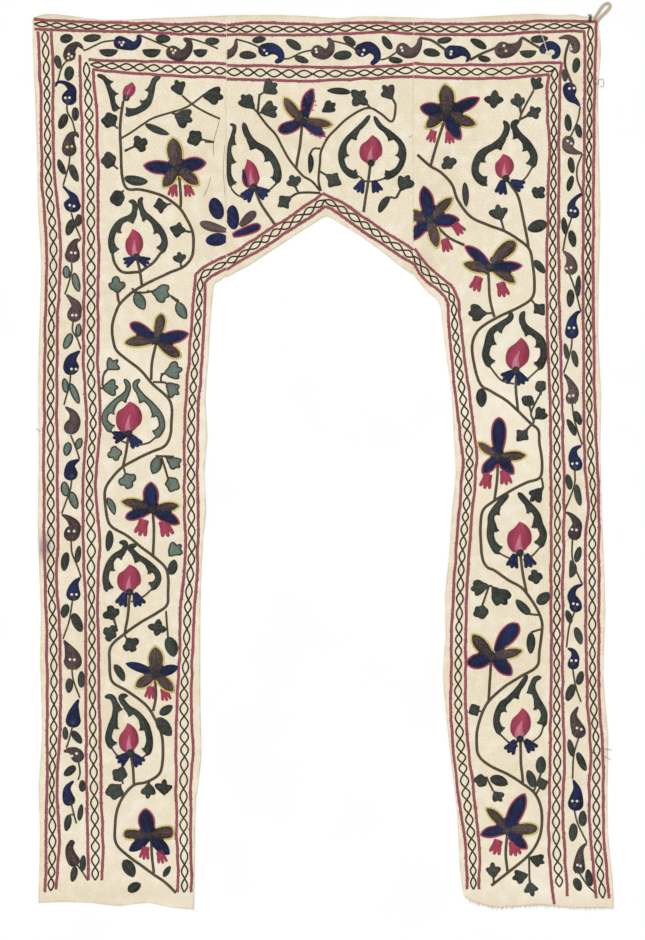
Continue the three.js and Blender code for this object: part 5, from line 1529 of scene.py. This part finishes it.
total = 0
for thread, look in threads.items():
    material = yarnMaterial(thread + "Thread", look["light"], look["shade"])
    table = np.vstack([np.zeros((0, stitch["columns"]))] + work[thread]["stitches"])
    panelOf = np.searchsorted(seamPlace, table[:, 0])
    for k, panel in enumerate(panels):
        points, faces, tone, strand = stitchArrays(table[panelOf == k])
        groups = [(points, faces, tone, strand)]
        for spot, corners, shade in work[thread]["patches"]:
            if np.searchsorted(seamPlace, spot[:, 0].mean()) == k:
                groups.append((spot, corners, np.full(len(spot), shade), spot[:, :2] * chainLook["patchMap"]))
        start = np.concatenate([[0], np.cumsum([len(group[0]) for group in groups])])
        points = np.vstack([group[0] for group in groups])
        if not len(points):
            continue
        faces = np.vstack([group[1] + first for group, first in zip(groups, start)])
        tone = np.concatenate([group[2] for group in groups])
        strand = np.vstack([group[3] for group in groups])
        low, high = points[:, :2].min(0), points[:, :2].max(0)
        extent = np.maximum(high - low, 1)
        flatMap = chainLook["bakeRim"] + chainLook["bakeSpan"] * (points[:, :2] - low) / extent
        name = panel["node"].replace("panel", thread)
        piece = makeMesh(name, points, faces, {"OFBake": flatMap, "strand": strand}, {"tone": tone})
        piece.data.materials.append(material)
        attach(piece, "root")
        panel["trim"].append(piece)
        total += len(faces)
print("embroidery made:", total, "triangles")

# hanging loop: the tape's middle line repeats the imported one, in millimetres along and beside its lean
loop = {"lean": 40.0, "seat": (655.36, 1046.5), "gap": 0.3, "shift": (-0.5, 0.7), "wide": 7.0, "thick": 1.9,
        "stations": 84, "sides": 14, "light": "C8B79C", "shade": "A29074", "blunt": 0.7,
        "twist": 0.12, "tilt": 0.3, "mapLength": 5.0, "mapSlant": 0.09,
        "rest": 1.15, "sewnFrom": 8, "sewnOver": 10, "sewnRise": 1.1, "tone": (0.5, 0.3, 6)}
loopStrands = {"along": (-3, 0, 14, 28, 39, 46), "left": (4.4, 4.6, 6.2, 8.2, 7.6, 4.6),
               "right": (4.4, 4.6, 5.2, 6.6, 7.2, 5.4), "tip": 48.8}
up = np.stack([-np.array(loopStrands["left"]), np.array(loopStrands["along"])], -1)
down = np.stack([np.array(loopStrands["right"]), np.array(loopStrands["along"])], -1)[::-1]
tapeLine = smoothPath(np.vstack([up, [(0, loopStrands["tip"])], down]), 1.0)
tapeLine = pick(tapeLine, np.linspace(0, 1, loop["stations"]))


def tapeSurface(line, wide, thick, sides):
    # a rounded band carried along its line: an ellipse flattened by a power, leaning as the tape twists
    side = sideways(line)
    angle = np.linspace(0, 2 * np.pi, sides, endpoint=False)
    power = loop["blunt"]
    across = np.sign(np.cos(angle)) * np.abs(np.cos(angle)) ** power * wide / 2
    over = np.sign(np.sin(angle)) * np.abs(np.sin(angle)) ** power * thick / 2
    t = np.linspace(0, 1, len(line))[:, None]
    lean = loop["twist"] * np.sin(4 * np.pi * t)
    flat = line[:, None] + side[:, None] * (across * np.cos(lean))[..., None]
    high = over + across * np.sin(lean) * loop["tilt"]
    along = np.concatenate([[0], np.cumsum(np.hypot(*np.diff(line, axis=0).T))])[:, None]
    beside = across / wide + along * loop["mapSlant"]
    strand = np.stack(np.broadcast_arrays(along / loop["mapLength"], beside), -1)
    return flat, high, strand


flat, high, strand = tapeSurface(tapeLine, loop["wide"], loop["thick"], loop["sides"])
lean = np.radians(loop["lean"])
seat = np.array(loop["seat"]) + np.array(loop["shift"])
seat = seat + loop["gap"] * np.array([np.sin(lean), np.cos(lean)])
x = flat[..., 0] * np.cos(lean) + flat[..., 1] * np.sin(lean) + seat[0]
y = -flat[..., 0] * np.sin(lean) + flat[..., 1] * np.cos(lean) + seat[1]
# the sewn ends ride up on the cloth
onTop = np.clip((loop["sewnFrom"] - flat[..., 1]) / loop["sewnOver"], 0, 1) * loop["sewnRise"]
points = np.stack([x, y, high + loop["rest"] + onTop], -1).reshape(-1, 3)
faces = tubeFaces(loop["stations"], loop["sides"])
# painted shade: the tone swings in bands along the tape, lighter and darker, standing in for light and shade
# on the turns of its twist
middle, swing, turns = loop["tone"]
tone = middle + swing * np.sin(strand[..., 0].ravel() * turns)
tape = makeMesh("tape_loop", points, faces, {"strand": strand.reshape(-1, 2)}, {"tone": tone})
tape.data.materials.append(yarnMaterial("loopTape", loop["light"], loop["shade"]))
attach(tape, "root")
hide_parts("hanging_loop")
panels[2]["trim"].append(tape)
print("loop made")
